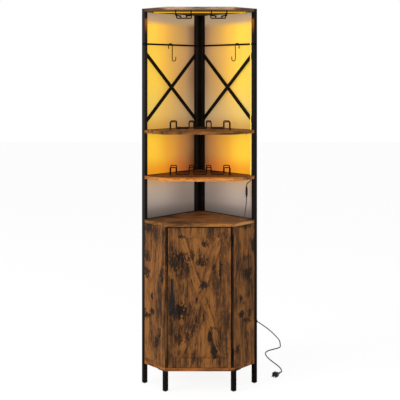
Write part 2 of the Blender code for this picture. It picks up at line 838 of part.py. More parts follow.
def inner_outline():
    """Returns the outline of the shelf inside the cupboard, as world (x, y) points."""
    side_u = WALL_LENGTH - BOARD - SHELF_SIDE_GAP
    front_y = DOOR_BACK_Y + SHELF_FRONT_SETBACK
    front_x = side_u * ROOT2 - (CORNER_Y - front_y)
    rear = plan(RIGHT, BOARD_REAR, BOARD_REAR)
    right = [plan(RIGHT, side_u, BOARD_REAR), (front_x, front_y)]
    return [rear] + right + [(-front_x, front_y), plan(LEFT, side_u, BOARD_REAR)]


def make_boards():
    """Makes the boards, with holes for their screws and notches for the lead."""
    notches = {
        "upper_shelf": LEAD_U,
        "lower_shelf": LEAD_U,
        "cabinet_top": LEAD_NOTCH_U,
        "inner_shelf": LEAD_LOW_U,
    }
    half = LEAD_RADIUS + NOTCH_CLEARANCE
    for name, top in RAIL_TOPS.items():
        outline = inner_outline() if name == "inner_shelf" else board_outline()
        board = place(name, mesh_of(name, [prism(outline, top - BOARD, top)]), RUSTIC_WOOD)
        ease(board, EDGE_EASE)
        cuts = [pilot(matrix) for owner, matrix in tab_screw_places() if owner == name]
        if name == "top_board":
            cuts += stem_sockets()
        if name == "bottom_board":
            cuts += [pilot(matrix) for matrix in leg_screw_places()]
        if name == "cabinet_top":
            cuts += [pilot(matrix, CATCH_HEIGHT) for matrix in catch_screw_places()]
        if name in notches:
            low = (notches[name] - half, BOARD_REAR - OVERRUN, top - BOARD - OVERRUN)
            high = (notches[name] + half, LEAD_V + half, top + OVERRUN)
            notch = frame_block(RIGHT, low, high)
            cuts.append(moved(notch, plan_matrix(RIGHT, 0, 0, 0)))
        boolean(board, cutter(name + "_cuts", mesh_of("cuts", cuts)), "DIFFERENCE")


def make_back(side, frame):
    """Makes the thin back behind a side frame; the right one has the cord's hole."""
    name = side.name + "_back_panel"
    low = (REAR_POST_START, -FIT - BACK, BOTTOM_BOARD_TOP - BOARD + BACK_END_INSET)
    high = (WALL_LENGTH - BACK_END_INSET, -FIT, TOTAL_HEIGHT - BACK_END_INSET)
    back = place(name, mesh_of(name, [frame_block(side, low, high)]), BACK_BOARD, frame)
    if side is RIGHT:
        bore = cylinder((RELIEF_SHANK + FIT) / cos(pi / ROUND), -OVERRUN, BACK + 2 * OVERRUN, ROUND)
        boolean(back, cutter("cord_hole", mesh_of("bore", [moved(bore, relief_matrix())])), "DIFFERENCE")


def make_side_panel(side, frame):
    """Makes a cupboard side and the steel strip on its front edge."""
    inner = WALL_LENGTH - BOARD
    strip_start = SIDE_DEPTH - EDGE_STRIP
    floor = CUPBOARD_FLOOR + FIT
    ceiling = CUPBOARD_CEILING - FIT
    low = (inner, BOARD_REAR, floor)
    high = (WALL_LENGTH, strip_start - FIT, ceiling)
    name = side.name + "_side_panel"
    panel = place(name, mesh_of(name, [frame_block(side, low, high)]), RUSTIC_WOOD, frame)
    ease(panel, EDGE_EASE)
    strip = frame_block(side, (inner, strip_start, floor), (WALL_LENGTH, SIDE_DEPTH, ceiling))
    name = side.name + "_edge_strip"
    place(name, mesh_of(name, [strip]), BLACK_STEEL, frame)


def standing(outline, near, far):
    """Returns a body with an (x, height) outline, between two y values."""
    swap = Matrix(((1, 0, 0, 0), (0, 0, 1, 0), (0, 1, 0, 0), (0, 0, 0, 1)))
    return moved(prism(outline, near, far), swap)


def rectangle(left, right, bottom, top):
    """Returns a rectangle's corners."""
    return [(left, bottom), (right, bottom), (right, top), (left, top)]


def handle_post_heights():
    """Returns the heights of the handle's two posts."""
    reach = HANDLE_LENGTH / 2 - HANDLE_POST_INSET
    return (HANDLE_CENTRE_HEIGHT - reach, HANDLE_CENTRE_HEIGHT + reach)


def handle_x():
    """Returns the handle's place across the door."""
    return HANDLE_EDGE_DISTANCE - DOOR_WIDTH / 2


def door_piece(name, axis, outline, near, far, look=RUSTIC_WOOD):
    """Adds one wood piece of the door, drawn in world places and carried by the hinge axis."""
    piece = place(name, mesh_of(name, [standing(outline, near, far)]), look, axis)
    piece.location = (-HINGE_AXIS_X, -HINGE_AXIS_Y, 0)
    ease(piece, EDGE_EASE)
    return piece


def drill(piece, name, holes):
    """Cuts world-placed holes in a door piece."""
    tool = cutter(name, mesh_of("holes", holes), piece.parent, piece.location)
    boolean(piece, tool, "DIFFERENCE")


def handle_holes():
    """Returns cutters for the handle's screws, right through the door."""
    holes = []
    for height in handle_post_heights():
        hole = cylinder(HANDLE_SCREW[2] + SCREW_GAP, DOOR_FACE_Y - OVERRUN, DOOR_BACK_Y + OVERRUN)
        holes.append(moved(hole, Matrix.Translation((handle_x(), 0, height)) @ towards_rear()))
    return holes


def towards_rear():
    """Returns the turn that lays a Z-axis body along +Y."""
    return Matrix.Rotation(-pi / 2, 4, "X")


def leaf_screw_places(height):
    """Returns the world place of a door leaf's screws, heads in the leaf."""
    outer = DOOR_WIDTH / 2 + FIT + LEAF_SCREW[1]
    middle_y = (DOOR_PANEL_FRONT_Y + DOOR_BACK_Y) / 2
    places = []
    for hand in (-1, 1):
        spot = Matrix.Translation((outer, middle_y, height + hand * HINGE_HEIGHT * SCREW_SPREAD_SHARE))
        places.append(spot @ Matrix.Rotation(-pi / 2, 4, "Y"))
    return places


def make_door(axis):
    """Makes the door: a panel with raised stiles, rails and a planked cross on its face."""
    half = DOOR_WIDTH / 2
    inner = half - DOOR_STILE
    face = (DOOR_FACE_Y, DOOR_FACE_Y + DOOR_FRAME)
    whole = rectangle(-half, half, DOOR_BOTTOM, DOOR_TOP)
    panel = door_piece("door_panel", axis, whole, DOOR_PANEL_FRONT_Y, DOOR_BACK_Y)
    pilots = [
        moved(cylinder(LEAF_SCREW[2] + SCREW_GAP, -LEAF, LEAF_SCREW[1] + LEAF_SCREW[3] + FIT), matrix)
        for height in HINGE_HEIGHTS.values()
        for matrix in leaf_screw_places(height)
    ]
    drill(panel, "door_panel_holes", handle_holes() + pilots)
    left = rectangle(-half, -inner, DOOR_BOTTOM, DOOR_TOP)
    stile = door_piece("door_handle_stile", axis, left, *face)
    drill(stile, "door_stile_holes", handle_holes())
    right = rectangle(inner, half, DOOR_BOTTOM, DOOR_TOP)
    door_piece("door_hinge_stile", axis, right, *face)
    across = inner - FIT
    top = rectangle(-across, across, DOOR_TOP - DOOR_RAIL, DOOR_TOP)
    door_piece("door_top_rail", axis, top, *face)
    bottom = rectangle(-across, across, DOOR_BOTTOM, DOOR_BOTTOM + DOOR_RAIL)
    door_piece("door_bottom_rail", axis, bottom, *face)
    make_planks(axis, face, across)


def plank_outline(opening, centre, across, spare=0):
    """Returns a slanted plank's outline, cut off by the opening that it fills."""
    half = PLANK_WIDTH / 2 + spare
    outline = clip_outline(opening, centre + across * half, across)
    return clip_outline(outline, centre - across * half, -across)


def make_planks(axis, face, across):
    """Makes the door's two crossed planks, each halved where they meet."""
    opening = rectangle(-across, across, DOOR_BOTTOM + DOOR_RAIL + FIT, DOOR_TOP - DOOR_RAIL - FIT)
    centre = Vector((CROSS_SHIFT, (DOOR_BOTTOM + DOOR_TOP) / 2 + CROSS_RISE))
    lean = atan(PLANK_SPREAD_SHARE * 2 * across / (DOOR_TOP - DOOR_BOTTOM - 2 * DOOR_RAIL))
    rising = Vector((cos(lean), -sin(lean)))
    falling = Vector((cos(lean), sin(lean)))
    middle = sum(face) / 2
    front_half = (face[0] - OVERRUN, middle + FIT / 2)
    back_half = (middle - FIT / 2, face[1] + OVERRUN)
    planks = (
        ("door_rising_plank", rising, falling, back_half),
        ("door_falling_plank", falling, rising, front_half),
    )
    for name, across_it, across_other, lost in planks:
        plank = door_piece(name, axis, plank_outline(opening, centre, across_it), *face)
        halving = standing(plank_outline(opening, centre, across_other, FIT), *lost)
        drill(plank, name + "_halving", [halving])


def make_handle(axis):
    """Makes the bar handle with its two posts, drilled for screws from behind."""
    front = DOOR_FACE_Y - HANDLE_REACH
    low = (handle_x() - HANDLE_WIDTH / 2, front, HANDLE_CENTRE_HEIGHT - HANDLE_LENGTH / 2)
    high = (handle_x() + HANDLE_WIDTH / 2, front + HANDLE_DEPTH, HANDLE_CENTRE_HEIGHT + HANDLE_LENGTH / 2)
    handle = place("door_handle", mesh_of("door_handle", [block(low, high)]), BLACK_STEEL, axis)
    handle.location = (-HINGE_AXIS_X, -HINGE_AXIS_Y, 0)
    ease(handle, EDGE_EASE)
    posts = []
    holes = []
    for height in handle_post_heights():
        spot = Matrix.Translation((handle_x(), 0, height)) @ towards_rear()
        post = cylinder(HANDLE_POST_RADIUS, front + HANDLE_DEPTH / 2, DOOR_FACE_Y - FIT, ROUND)
        posts.append(moved(post, spot))
        hole = cylinder(HANDLE_SCREW[2] + SCREW_GAP, DOOR_FACE_Y - HANDLE_THREAD - FIT, DOOR_FACE_Y)
        holes.append(moved(hole, spot))
    tool = cutter("handle_posts", mesh_of("posts", posts), axis, handle.location)
    boolean(handle, tool, "UNION")
    drill(handle, "handle_holes", holes)


def lug_outline(centre, towards, base):
    """Returns a knuckle's outline: a half circle with straight sides down to its leaf."""
    across = Vector((-towards[1], towards[0]))
    towards = Vector(towards)
    centre = Vector(centre)
    outline = []
    for step in range(SMALL_ROUND + 1):
        angle = pi * step / SMALL_ROUND
        outline.append(centre + KNUCKLE_RADIUS * (cos(angle) * across - sin(angle) * towards))
    outline.append(centre - KNUCKLE_RADIUS * across + towards * base)
    outline.append(centre + KNUCKLE_RADIUS * across + towards * base)
    return [tuple(point) for point in outline]


def knuckle_spans(height, wanted):
    """Returns the bottom and top of the wanted knuckles of a hinge."""
    share = (HINGE_HEIGHT + KNUCKLE_GAP) / KNUCKLE_COUNT
    start = height - HINGE_HEIGHT / 2
    return [(start + n * share, start + (n + 1) * share - KNUCKLE_GAP) for n in wanted]


def make_hinge(axis, name, height):
    """Makes one butt hinge: its frame leaf, its door leaf and its pin."""
    centre = (HINGE_AXIS_X, HINGE_AXIS_Y)
    offset = (-HINGE_AXIS_X, -HINGE_AXIS_Y, 0)
    wall_turn = plan_matrix(RIGHT, 0, 0, 0)
    bottom = height - HINGE_HEIGHT / 2
    top = bottom + HINGE_HEIGHT
    bore = cylinder((HINGE_PIN_RADIUS + FIT) / cos(pi / ROUND), bottom - OVERRUN, top + OVERRUN, ROUND)
    moved(bore, Matrix.Translation((*centre, 0)))
    low = (WALL_LENGTH - BOARD + LEAF_INSET, SIDE_DEPTH + FIT, bottom)
    high = (WALL_LENGTH - LEAF_INSET, SIDE_DEPTH + FIT + LEAF, top)
    plate = moved(frame_block(RIGHT, low, high), wall_turn)
    inward = (wall_turn.to_3x3() @ Vector((0, 1, 0))).xy
    reach_in = HINGE_FACE_GAP - FIT - LEAF / 2
    outline = lug_outline(centre, inward, reach_in)
    outer_knuckles = [n for n in range(KNUCKLE_COUNT) if n % 2 == 0]
    lugs = [prism(outline, *span) for span in knuckle_spans(height, outer_knuckles)]
    frame_leaf = place(name + "_frame_leaf", mesh_of("frame_leaf", [plate]), BLACK_STEEL)
    boolean(frame_leaf, cutter(name + "_frame_lugs", mesh_of("lugs", lugs)), "UNION")
    boolean(frame_leaf, cutter(name + "_frame_bore", mesh_of("bore", [bore.copy()])), "DIFFERENCE")
    leaf_x = DOOR_WIDTH / 2 + FIT
    low = (leaf_x, DOOR_FACE_Y + LEAF_INSET, bottom)
    high = (leaf_x + LEAF, DOOR_BACK_Y - LEAF_INSET, top)
    reach_in = HINGE_AXIS_X - leaf_x - LEAF / 2
    outline = lug_outline(centre, (-1, 0), reach_in)
    inner_knuckles = [n for n in range(KNUCKLE_COUNT) if n % 2]
    lugs = [prism(outline, *span) for span in knuckle_spans(height, inner_knuckles)]
    leaf = mesh_of("door_leaf", [block(low, high)])
    door_leaf = place(name + "_door_leaf", leaf, BLACK_STEEL, axis, offset)
    boolean(door_leaf, cutter(name + "_door_lugs", mesh_of("lugs", lugs), axis, offset), "UNION")
    screw_holes = [
        moved(cylinder(LEAF_SCREW[0] + FIT, -OVERRUN, LEAF + OVERRUN), matrix)
        for matrix in leaf_screw_places(height)
    ]
    drill(door_leaf, name + "_door_cuts", [bore] + screw_holes)
    seat = top + FIT
    profile = [
        (0, bottom - FIT),
        (HINGE_PIN_RADIUS, bottom - FIT),
        (HINGE_PIN_RADIUS, seat),
        (HINGE_PIN_HEAD_RADIUS, seat),
        (HINGE_PIN_HEAD_RADIUS, seat + HINGE_PIN_HEAD),
        (0, seat + HINGE_PIN_HEAD),
    ]
    pin = mesh_of("pin", [turned(profile, ROUND)], smooth=True)
    place(name + "_pin", pin, BLACK_STEEL, None, (*centre, 0))


def catch_front():
    """Returns the y of the magnetic catch's front face."""
    return DOOR_BACK_Y + 2 * FIT + STRIKE


def make_catch(axis):
    """Makes the magnetic catch under the cabinet top and its strike plate on the door."""
    half = CATCH_WIDTH / 2
    low = (CATCH_CENTRE_X - half, catch_front(), CUPBOARD_CEILING - FIT - CATCH_HEIGHT)
    high = (CATCH_CENTRE_X + half, catch_front() + CATCH_DEPTH, CUPBOARD_CEILING - FIT)
    catch = place("magnetic_catch", mesh_of("magnetic_catch", [block(low, high)]), BLACK_PLASTIC)
    ease(catch, EDGE_EASE)
    holes = [
        moved(cylinder(BOARD_SCREW[2] + SCREW_GAP, -OVERRUN, CATCH_HEIGHT + 2 * OVERRUN), matrix)
        for matrix in catch_screw_places()
    ]
    boolean(catch, cutter("catch_holes", mesh_of("holes", holes)), "DIFFERENCE")
    half = STRIKE_WIDTH / 2
    top = DOOR_TOP - STRIKE
    low = (CATCH_CENTRE_X - half, DOOR_BACK_Y + FIT, top - STRIKE_HEIGHT)
    high = (CATCH_CENTRE_X + half, DOOR_BACK_Y + FIT + STRIKE, top)
    strike = place("strike_plate", mesh_of("strike_plate", [block(low, high)]), ZINC, axis)
    strike.location = (-HINGE_AXIS_X, -HINGE_AXIS_Y, 0)


def make_handle_screws(axis):
    """Makes the two screws that hold the handle from behind the door."""
    head = DOOR_BACK_Y + FIT + HANDLE_SCREW[1]
    offset = (-HINGE_AXIS_X, -HINGE_AXIS_Y, 0)
    for name, height in zip(("lower_handle_screw", "upper_handle_screw"), handle_post_heights()):
        spot = Matrix.Translation((handle_x(), head, height)) @ Matrix.Rotation(pi / 2, 4, "X")
        fastener = moved(screw(HANDLE_SCREW, BOARD + FIT + HANDLE_THREAD), spot)
        place(name, mesh_of(name, [fastener]), ZINC, axis, offset)


def rack_wave(y, shelf_top):
    """Returns one side of a wine rack: its end loops and cradles, from foot to foot."""
    top = shelf_top + RACK_HEIGHT - RACK_WIRE
    low = shelf_top + RACK_CRADLE_LIFT + RACK_WIRE
    foot = shelf_top + FIT + RACK_WIRE
    gaps = RACK_CRADLE_COUNT - 1
    peak = (RACK_WIDTH - 2 * RACK_END_LOOP - RACK_CRADLE_COUNT * RACK_CRADLE) / gaps
    left = RACK_CENTRE_X - RACK_WIDTH / 2
    wave = [(left, y, foot), (left, y, top)]
    for cradle in range(RACK_CRADLE_COUNT):
        start = left + RACK_END_LOOP + cradle * (RACK_CRADLE + peak)
        end = start + RACK_CRADLE
        wave += [(start, y, top), (start, y, low), (end, y, low), (end, y, top)]
    right = left + RACK_WIDTH
    return wave + [(right, y, top), (right, y, foot)]


def make_wine_racks():
    """Makes the two wine racks, each one closed loop of wire that stands on a shelf."""
    front = CORNER_Y - RACK_FRONT_DEPTH
    rear = front + RACK_LENGTH
    for name, shelf_top in (("upper_wine_rack", UPPER_SHELF_TOP), ("lower_wine_rack", LOWER_SHELF_TOP)):
        corners = rack_wave(front, shelf_top) + rack_wave(rear, shelf_top)[::-1]
        route = rounded_route(corners, RACK_BEND, closed=True)
        place(name, wire(name, [route], RACK_WIRE, 1, closed=True), BLACK_STEEL)


def stem_socket_places():
    """Returns the (x, y) of each wire end that seats in the top board."""
    front = CORNER_Y - STEM_RACK_FRONT
    return [
        (centre + hand * STEM_RACK_HALF_WIDTH, y)
        for centre in STEM_RACK_CENTRES.values()
        for hand in (-1, 1)
        for y in (front, front + STEM_RACK_LENGTH)
    ]


def stem_sockets():
    """Returns cutters for the stemware racks' sockets in the top board."""
    under = TOTAL_HEIGHT - BOARD
    radius = (STEM_WIRE + FIT) / cos(pi / SMALL_ROUND)
    sockets = []
    for x, y in stem_socket_places():
        socket = cylinder(radius, under - OVERRUN, under + STEM_SOCKET_DEPTH + FIT)
        sockets.append(moved(socket, Matrix.Translation((x, y, 0))))
    return sockets


def swept(route, radius, steps):
    """Returns a round wire along a route, as a closed body with flat ends."""
    route = [Vector(point) for point in route]
    ahead = [(far - near).normalized() for near, far in zip(route, route[1:])]
    side = ahead[0].orthogonal().normalized()
    sections = []
    for index, point in enumerate(route):
        before = ahead[max(index - 1, 0)]
        after = ahead[min(index, len(ahead) - 1)]
        along = (before + after).normalized()
        side = (side - along * side.dot(along)).normalized()
        up = along.cross(side)
        angles = [2 * pi * step / steps for step in range(steps)]
        sections.append([point + radius * (side * cos(angle) + up * sin(angle)) for angle in angles])
    return loft(sections)


def make_stem_racks():
    """Makes the two stemware racks: a pair of bent wires on a hanger, under the top board."""
    front = CORNER_Y - STEM_RACK_FRONT
    rear = front + STEM_RACK_LENGTH
    seat = TOTAL_HEIGHT - BOARD + STEM_SOCKET_DEPTH
    rail = TOTAL_HEIGHT - BOARD - STEM_RACK_DROP + STEM_WIRE
    for name, centre in STEM_RACK_CENTRES.items():
        wires = []
        for hand in (-1, 1):
            outer = centre + hand * STEM_RACK_HALF_WIDTH
            inner = centre + hand * STEM_GAP_HALF
            corners = [
                (outer, front, seat),
                (outer, front, rail),
                (inner + hand * STEM_TIP, front, rail),
                (inner, front - STEM_TIP, rail - STEM_TIP),
                (inner, front + 2 * STEM_TIP, rail),
                (inner, rear, rail),
            ]
            wires.append(swept(rounded_route(corners, STEM_BEND), STEM_WIRE, SMALL_ROUND))
        left = centre - STEM_RACK_HALF_WIDTH
        right = centre + STEM_RACK_HALF_WIDTH
        corners = [(left, rear, seat), (left, rear, rail), (right, rear, rail), (right, rear, seat)]
        hanger = swept(rounded_route(corners, STEM_BEND), STEM_WIRE, SMALL_ROUND)
        rack = place(name, mesh_of(name, [hanger]), BLACK_STEEL)
        boolean(rack, cutter(name + "_wires", mesh_of("wires", wires)), "UNION")


def make_hook(side, frame):
    """Makes an S-hook; its origin is on the axis of the rail that it swings on."""
    drop = HOOK_RAIL_RADIUS + FIT - (HOOK_TOP_RADIUS - HOOK_WIRE)
    profile = [(-HOOK_TOP_RADIUS, drop - HOOK_BACK_END)]
    for step in range(ROUND // 2 + 1):
        angle = pi - pi * step / (ROUND // 2)
        profile.append((HOOK_TOP_RADIUS * cos(angle), drop + HOOK_TOP_RADIUS * sin(angle)))
    low = drop - HOOK_SHANK
    for step in range(ROUND // 2 + 1):
        angle = pi + pi * step / (ROUND // 2)
        out = HOOK_TOP_RADIUS + HOOK_LOW_RADIUS
        profile.append((out + HOOK_LOW_RADIUS * cos(angle), low + HOOK_LOW_RADIUS * sin(angle)))
    profile.append((HOOK_TOP_RADIUS + 2 * HOOK_LOW_RADIUS, low + HOOK_TIP))
    route = [(-s * sin(HOOK_TURN), side.out * s * cos(HOOK_TURN), height) for s, height in profile]
    name = side.name + "_hook"
    spot = (HOOK_PLACES[side.name], side.out * HOOK_RAIL_OUT, HOOK_RAIL_HEIGHT)
    place(name, wire(name, [route], HOOK_WIRE, 1), BLACK_STEEL, frame, spot)


def strip_heights():
    """Returns the height of the middle of each light strip."""
    drop = BOARD + FIT + STRIP_HEIGHT / 2
    return {"top_light_strip": TOTAL_HEIGHT - drop, "shelf_light_strip": UPPER_SHELF_TOP - drop}


def lead_point(u, height, v=LEAD_V):
    """Returns a world point of the lead beside the right side frame."""
    return wall_point(RIGHT, u, v, height)


def make_lights():
    """Makes the two light strips under the top board and the upper shelf."""
    middle_y = lead_point(LEAD_U, 0).y
    for name, height in strip_heights().items():
        low = (STRIP_LEFT, middle_y - STRIP_WIDTH / 2, height - STRIP_HEIGHT / 2)
        high = (STRIP_RIGHT, middle_y + STRIP_WIDTH / 2, height + STRIP_HEIGHT / 2)
        place(name, mesh_of(name, [block(low, high)]), WARM_LIGHT)


def lead_route():
    """Returns the lead's route, from the top strip through the switch to the cord's exit."""
    top = strip_heights()["top_light_strip"]
    start = (STRIP_RIGHT + FIT, lead_point(LEAD_U, 0).y, top)
    turn = SWITCH_TOP + LEAD_TURN_OVER_SWITCH
    sway = CABINET_TOP - LEAD_SWAY_UNDER_TOP
    corners = [
        start,
        lead_point(LEAD_U, top),
        lead_point(LEAD_U, turn + LEAD_TURN_RISE),
        lead_point(SWITCH_U, turn),
        lead_point(SWITCH_U, SWITCH_TOP - SWITCH_LENGTH - LEAD_SLANT_UNDER_SWITCH),
        lead_point(LEAD_NOTCH_U, CABINET_TOP + LEAD_SLANT_OVER_TOP),
        lead_point(LEAD_NOTCH_U, sway),
        lead_point(LEAD_LOW_U, sway - LEAD_SWAY_DROP),
        lead_point(LEAD_LOW_U, CORD_EXIT_HEIGHT),
        lead_point(LEAD_LOW_U, CORD_EXIT_HEIGHT, RELIEF_FLANGE_THICKNESS + FIT),
    ]
    return rounded_route(corners, LEAD_BEND)


def make_lead():
    """Makes the lead that joins the strips to the cord, with a branch to the lower strip."""
    name = "light_lead"
    body = mesh_of(name, [swept(lead_route(), LEAD_RADIUS, SMALL_ROUND)], smooth=True)
    lead = place(name, body, LEAD_SHEATH)
    shelf = strip_heights()["shelf_light_strip"]
    middle = lead_point(LEAD_U, shelf)
    start = (STRIP_RIGHT + FIT, middle.y, shelf)
    branch = swept([start, middle], LEAD_RADIUS * BRANCH_SHARE, SMALL_ROUND)
    boolean(lead, cutter("lead_branch", mesh_of("branch", [branch])), "UNION")


def make_switch():
    """Makes the switch that the lead runs through, and its push button."""
    centre = lead_point(SWITCH_U, SWITCH_TOP - SWITCH_LENGTH / 2)
    end = SWITCH_LENGTH / 2
    full = (SWITCH_WIDTH / 2, SWITCH_DEPTH / 2)
    narrow = (SWITCH_END_WIDTH / 2, SWITCH_END_WIDTH / 2)
    sections = [
        oblong(*narrow, -end),
        oblong(*full, SWITCH_TAPER - end),
        oblong(*full, end - SWITCH_TAPER),
        oblong(*narrow, end),
    ]
    case = mesh_of("inline_switch", [moved(loft(sections), Matrix.Translation(centre))])
    body = place("inline_switch", case, BLACK_PLASTIC)
    ease(body, SWITCH_EASE)
    face = centre.y - SWITCH_DEPTH / 2
    half_button = Vector((BUTTON_WIDTH / 2, 0, BUTTON_HEIGHT / 2))
    low = Vector((centre.x, face - BUTTON_STANDS_OUT, centre.z)) - half_button
    high = low + 2 * half_button + Vector((0, BUTTON_DEPTH, 0))
    button = place("switch_button", mesh_of("switch_button", [block(low, high)]), BLACK_PLASTIC)
    ease(button, EDGE_EASE)
    side_gap = Vector((FIT, 0, FIT))
    rear_gap = Vector((0, BUTTON_TRAVEL + FIT, 0))
    pocket = block(low - side_gap - Vector((0, OVERRUN, 0)), high + side_gap + rear_gap)
    bore = cylinder((LEAD_RADIUS + FIT) / cos(pi / ROUND), -SWITCH_LENGTH, SWITCH_LENGTH, ROUND)
    cuts = [pocket, moved(bore, Matrix.Translation(centre))]
    boolean(body, cutter("switch_cuts", mesh_of("cuts", cuts)), "DIFFERENCE")


def relief_matrix():
    """Returns the world place of the cord relief, along Z out through the cupboard back."""
    spot = plan_matrix(RIGHT, LEAD_LOW_U, 0, CORD_EXIT_HEIGHT)
    return spot @ Matrix.Rotation(-pi / 2, 4, "X")


def make_cord():
    """Makes the tapered cord relief, the free power cord and its plug."""
    outer = BACK + 2 * FIT
    profile = [
        (0, -RELIEF_FLANGE_THICKNESS),
        (RELIEF_FLANGE, -RELIEF_FLANGE_THICKNESS),
        (RELIEF_FLANGE, 0),
        (RELIEF_SHANK, 0),
        (RELIEF_SHANK, outer),
        (RELIEF_FLANGE, outer),
        (RELIEF_FLANGE, outer + RELIEF_FLANGE_THICKNESS),
        (RELIEF_SHANK, outer + RELIEF_FLANGE_THICKNESS),
        (RELIEF_TIP, outer + RELIEF_FLANGE_THICKNESS + RELIEF_TAIL),
        (0, outer + RELIEF_FLANGE_THICKNESS + RELIEF_TAIL),
    ]
    relief = moved(turned(profile, ROUND), relief_matrix())
    place("cord_relief", mesh_of("cord_relief", [relief], smooth=True), BLACK_PLASTIC)
    route = smooth_route(CORD_ROUTE, CORD_STEP, CORD_RADIUS + FIT / 2)
    place("power_cord", wire("power_cord", [route], CORD_RADIUS, 2), BLACK_PLASTIC)
    make_plug()


def octagon(width, height, at):
    """Returns the eight points of a rectangle with cut corners, square to the X axis."""
    cut = min(width, height) * OCTAGON_CUT_SHARE
    across, up = width / 2, height / 2
    ring = [
        (across - cut, -up),
        (across, cut - up),
        (across, up - cut),
        (across - cut, up),
        (cut - across, up),
        (-across, up - cut),
        (-across, cut - up),
        (cut - across, -up),
    ]
    return [(at, y, z) for y, z in ring]


def make_plug():
    """Makes the plug that lies at the end of the cord, with its two moulded-in prongs."""
    end = Vector(CORD_ROUTE[-1])
    spot = Matrix.Translation(end) @ Matrix.Rotation(PLUG_HEADING, 4, "Z")
    body_start = FIT + PLUG_NECK
    face = body_start + PLUG_BODY
    thick_neck = 2 * PLUG_NECK_RADIUS / PLUG_SHOULDER_SHARE
    body = loft(
        [
            octagon(2 * PLUG_NECK_RADIUS, 2 * PLUG_NECK_RADIUS, FIT),
            octagon(thick_neck, thick_neck, body_start),
            octagon(PLUG_WIDTH, PLUG_THICKNESS, body_start + PLUG_SHOULDER),
            octagon(PLUG_WIDTH, PLUG_THICKNESS, face),
        ]
    )
    plug = place("power_plug", mesh_of("power_plug", [moved(body, spot)]), BLACK_PLASTIC)
    prongs = []
    for hand in (-1, 1):
        middle = hand * PRONG_SPACING / 2
        low = (face - OVERRUN, middle - PRONG_THICKNESS / 2, -PRONG_WIDTH / 2)
        high = (face + PRONG_LENGTH, middle + PRONG_THICKNESS / 2, PRONG_WIDTH / 2)
        prongs.append(moved(block(low, high), spot))
    boolean(plug, cutter("plug_prongs", mesh_of("prongs", prongs)), "UNION")


def make_side(side):
    """Makes what stands in one wall plane, on an empty at the wall corner."""
    frame = guide(side.name + "_wall", (0, CORNER_Y, 0), side.turn)
    make_weldment(side, frame)
    make_cross_brace(side, frame)
    make_front_leg(side, frame)
    make_back(side, frame)
    make_side_panel(side, frame)
    make_hook(side, frame)


def main():
    """Builds the whole cabinet."""
    clear_scene()
    for side in (LEFT, RIGHT):
        make_side(side)
    make_feet()
    make_boards()
    axis = guide("door_axis", (HINGE_AXIS_X, HINGE_AXIS_Y, 0))
    make_door(axis)
    make_handle(axis)
    make_handle_screws(axis)
    for name, height in HINGE_HEIGHTS.items():
        make_hinge(axis, name, height)
    make_catch(axis)
    make_wine_racks()
    make_stem_racks()
    make_lights()
    make_lead()
    make_switch()
    make_cord()


main()
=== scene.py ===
"""Corner bar cabinet: its finishes, its fine parts, and the studio around it.

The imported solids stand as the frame.  Wires, fittings, the lead and the cord are made
again here with finer shapes, small fasteners are added, and every surface gets its finish.
Metres, +Z up.  The front faces -Y, and the wall corner is at the rear.
"""

import json
import logging
from dataclasses import dataclass
from enum import Enum
from math import copysign, cos, pi, radians, sin, sqrt, tan

import bmesh
import bpy
from mathutils import Matrix, Vector

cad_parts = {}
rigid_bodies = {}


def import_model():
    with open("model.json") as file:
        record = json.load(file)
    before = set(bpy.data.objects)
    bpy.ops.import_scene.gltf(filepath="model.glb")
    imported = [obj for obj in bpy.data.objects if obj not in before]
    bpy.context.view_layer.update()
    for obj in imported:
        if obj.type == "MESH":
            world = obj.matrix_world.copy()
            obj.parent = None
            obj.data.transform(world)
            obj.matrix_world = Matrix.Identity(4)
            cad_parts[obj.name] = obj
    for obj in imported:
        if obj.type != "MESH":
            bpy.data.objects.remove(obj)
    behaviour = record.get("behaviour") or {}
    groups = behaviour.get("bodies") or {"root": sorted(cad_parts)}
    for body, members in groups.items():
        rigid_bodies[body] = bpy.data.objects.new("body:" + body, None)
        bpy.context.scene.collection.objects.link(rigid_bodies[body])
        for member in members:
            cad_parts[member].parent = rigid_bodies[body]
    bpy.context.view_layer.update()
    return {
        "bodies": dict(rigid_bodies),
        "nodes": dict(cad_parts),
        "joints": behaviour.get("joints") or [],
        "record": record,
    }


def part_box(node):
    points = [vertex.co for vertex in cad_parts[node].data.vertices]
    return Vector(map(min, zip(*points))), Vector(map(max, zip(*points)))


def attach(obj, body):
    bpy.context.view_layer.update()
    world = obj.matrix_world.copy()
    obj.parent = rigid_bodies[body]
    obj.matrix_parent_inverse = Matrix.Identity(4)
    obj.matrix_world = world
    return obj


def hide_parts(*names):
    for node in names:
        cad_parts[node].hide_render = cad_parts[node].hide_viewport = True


log = logging.getLogger("cabinet")

Span = tuple[float, float]
Colour = tuple[float, float, float]
Point = tuple[float, float, float]
Patches = tuple[tuple[float, float, float, float, float], ...]
Stops = tuple[tuple[float, Colour], ...]
Socket = bpy.types.NodeSocket
Item = bpy.types.Object
Shape = bmesh.types.BMesh
Mesh = bpy.types.Mesh
Material = bpy.types.Material

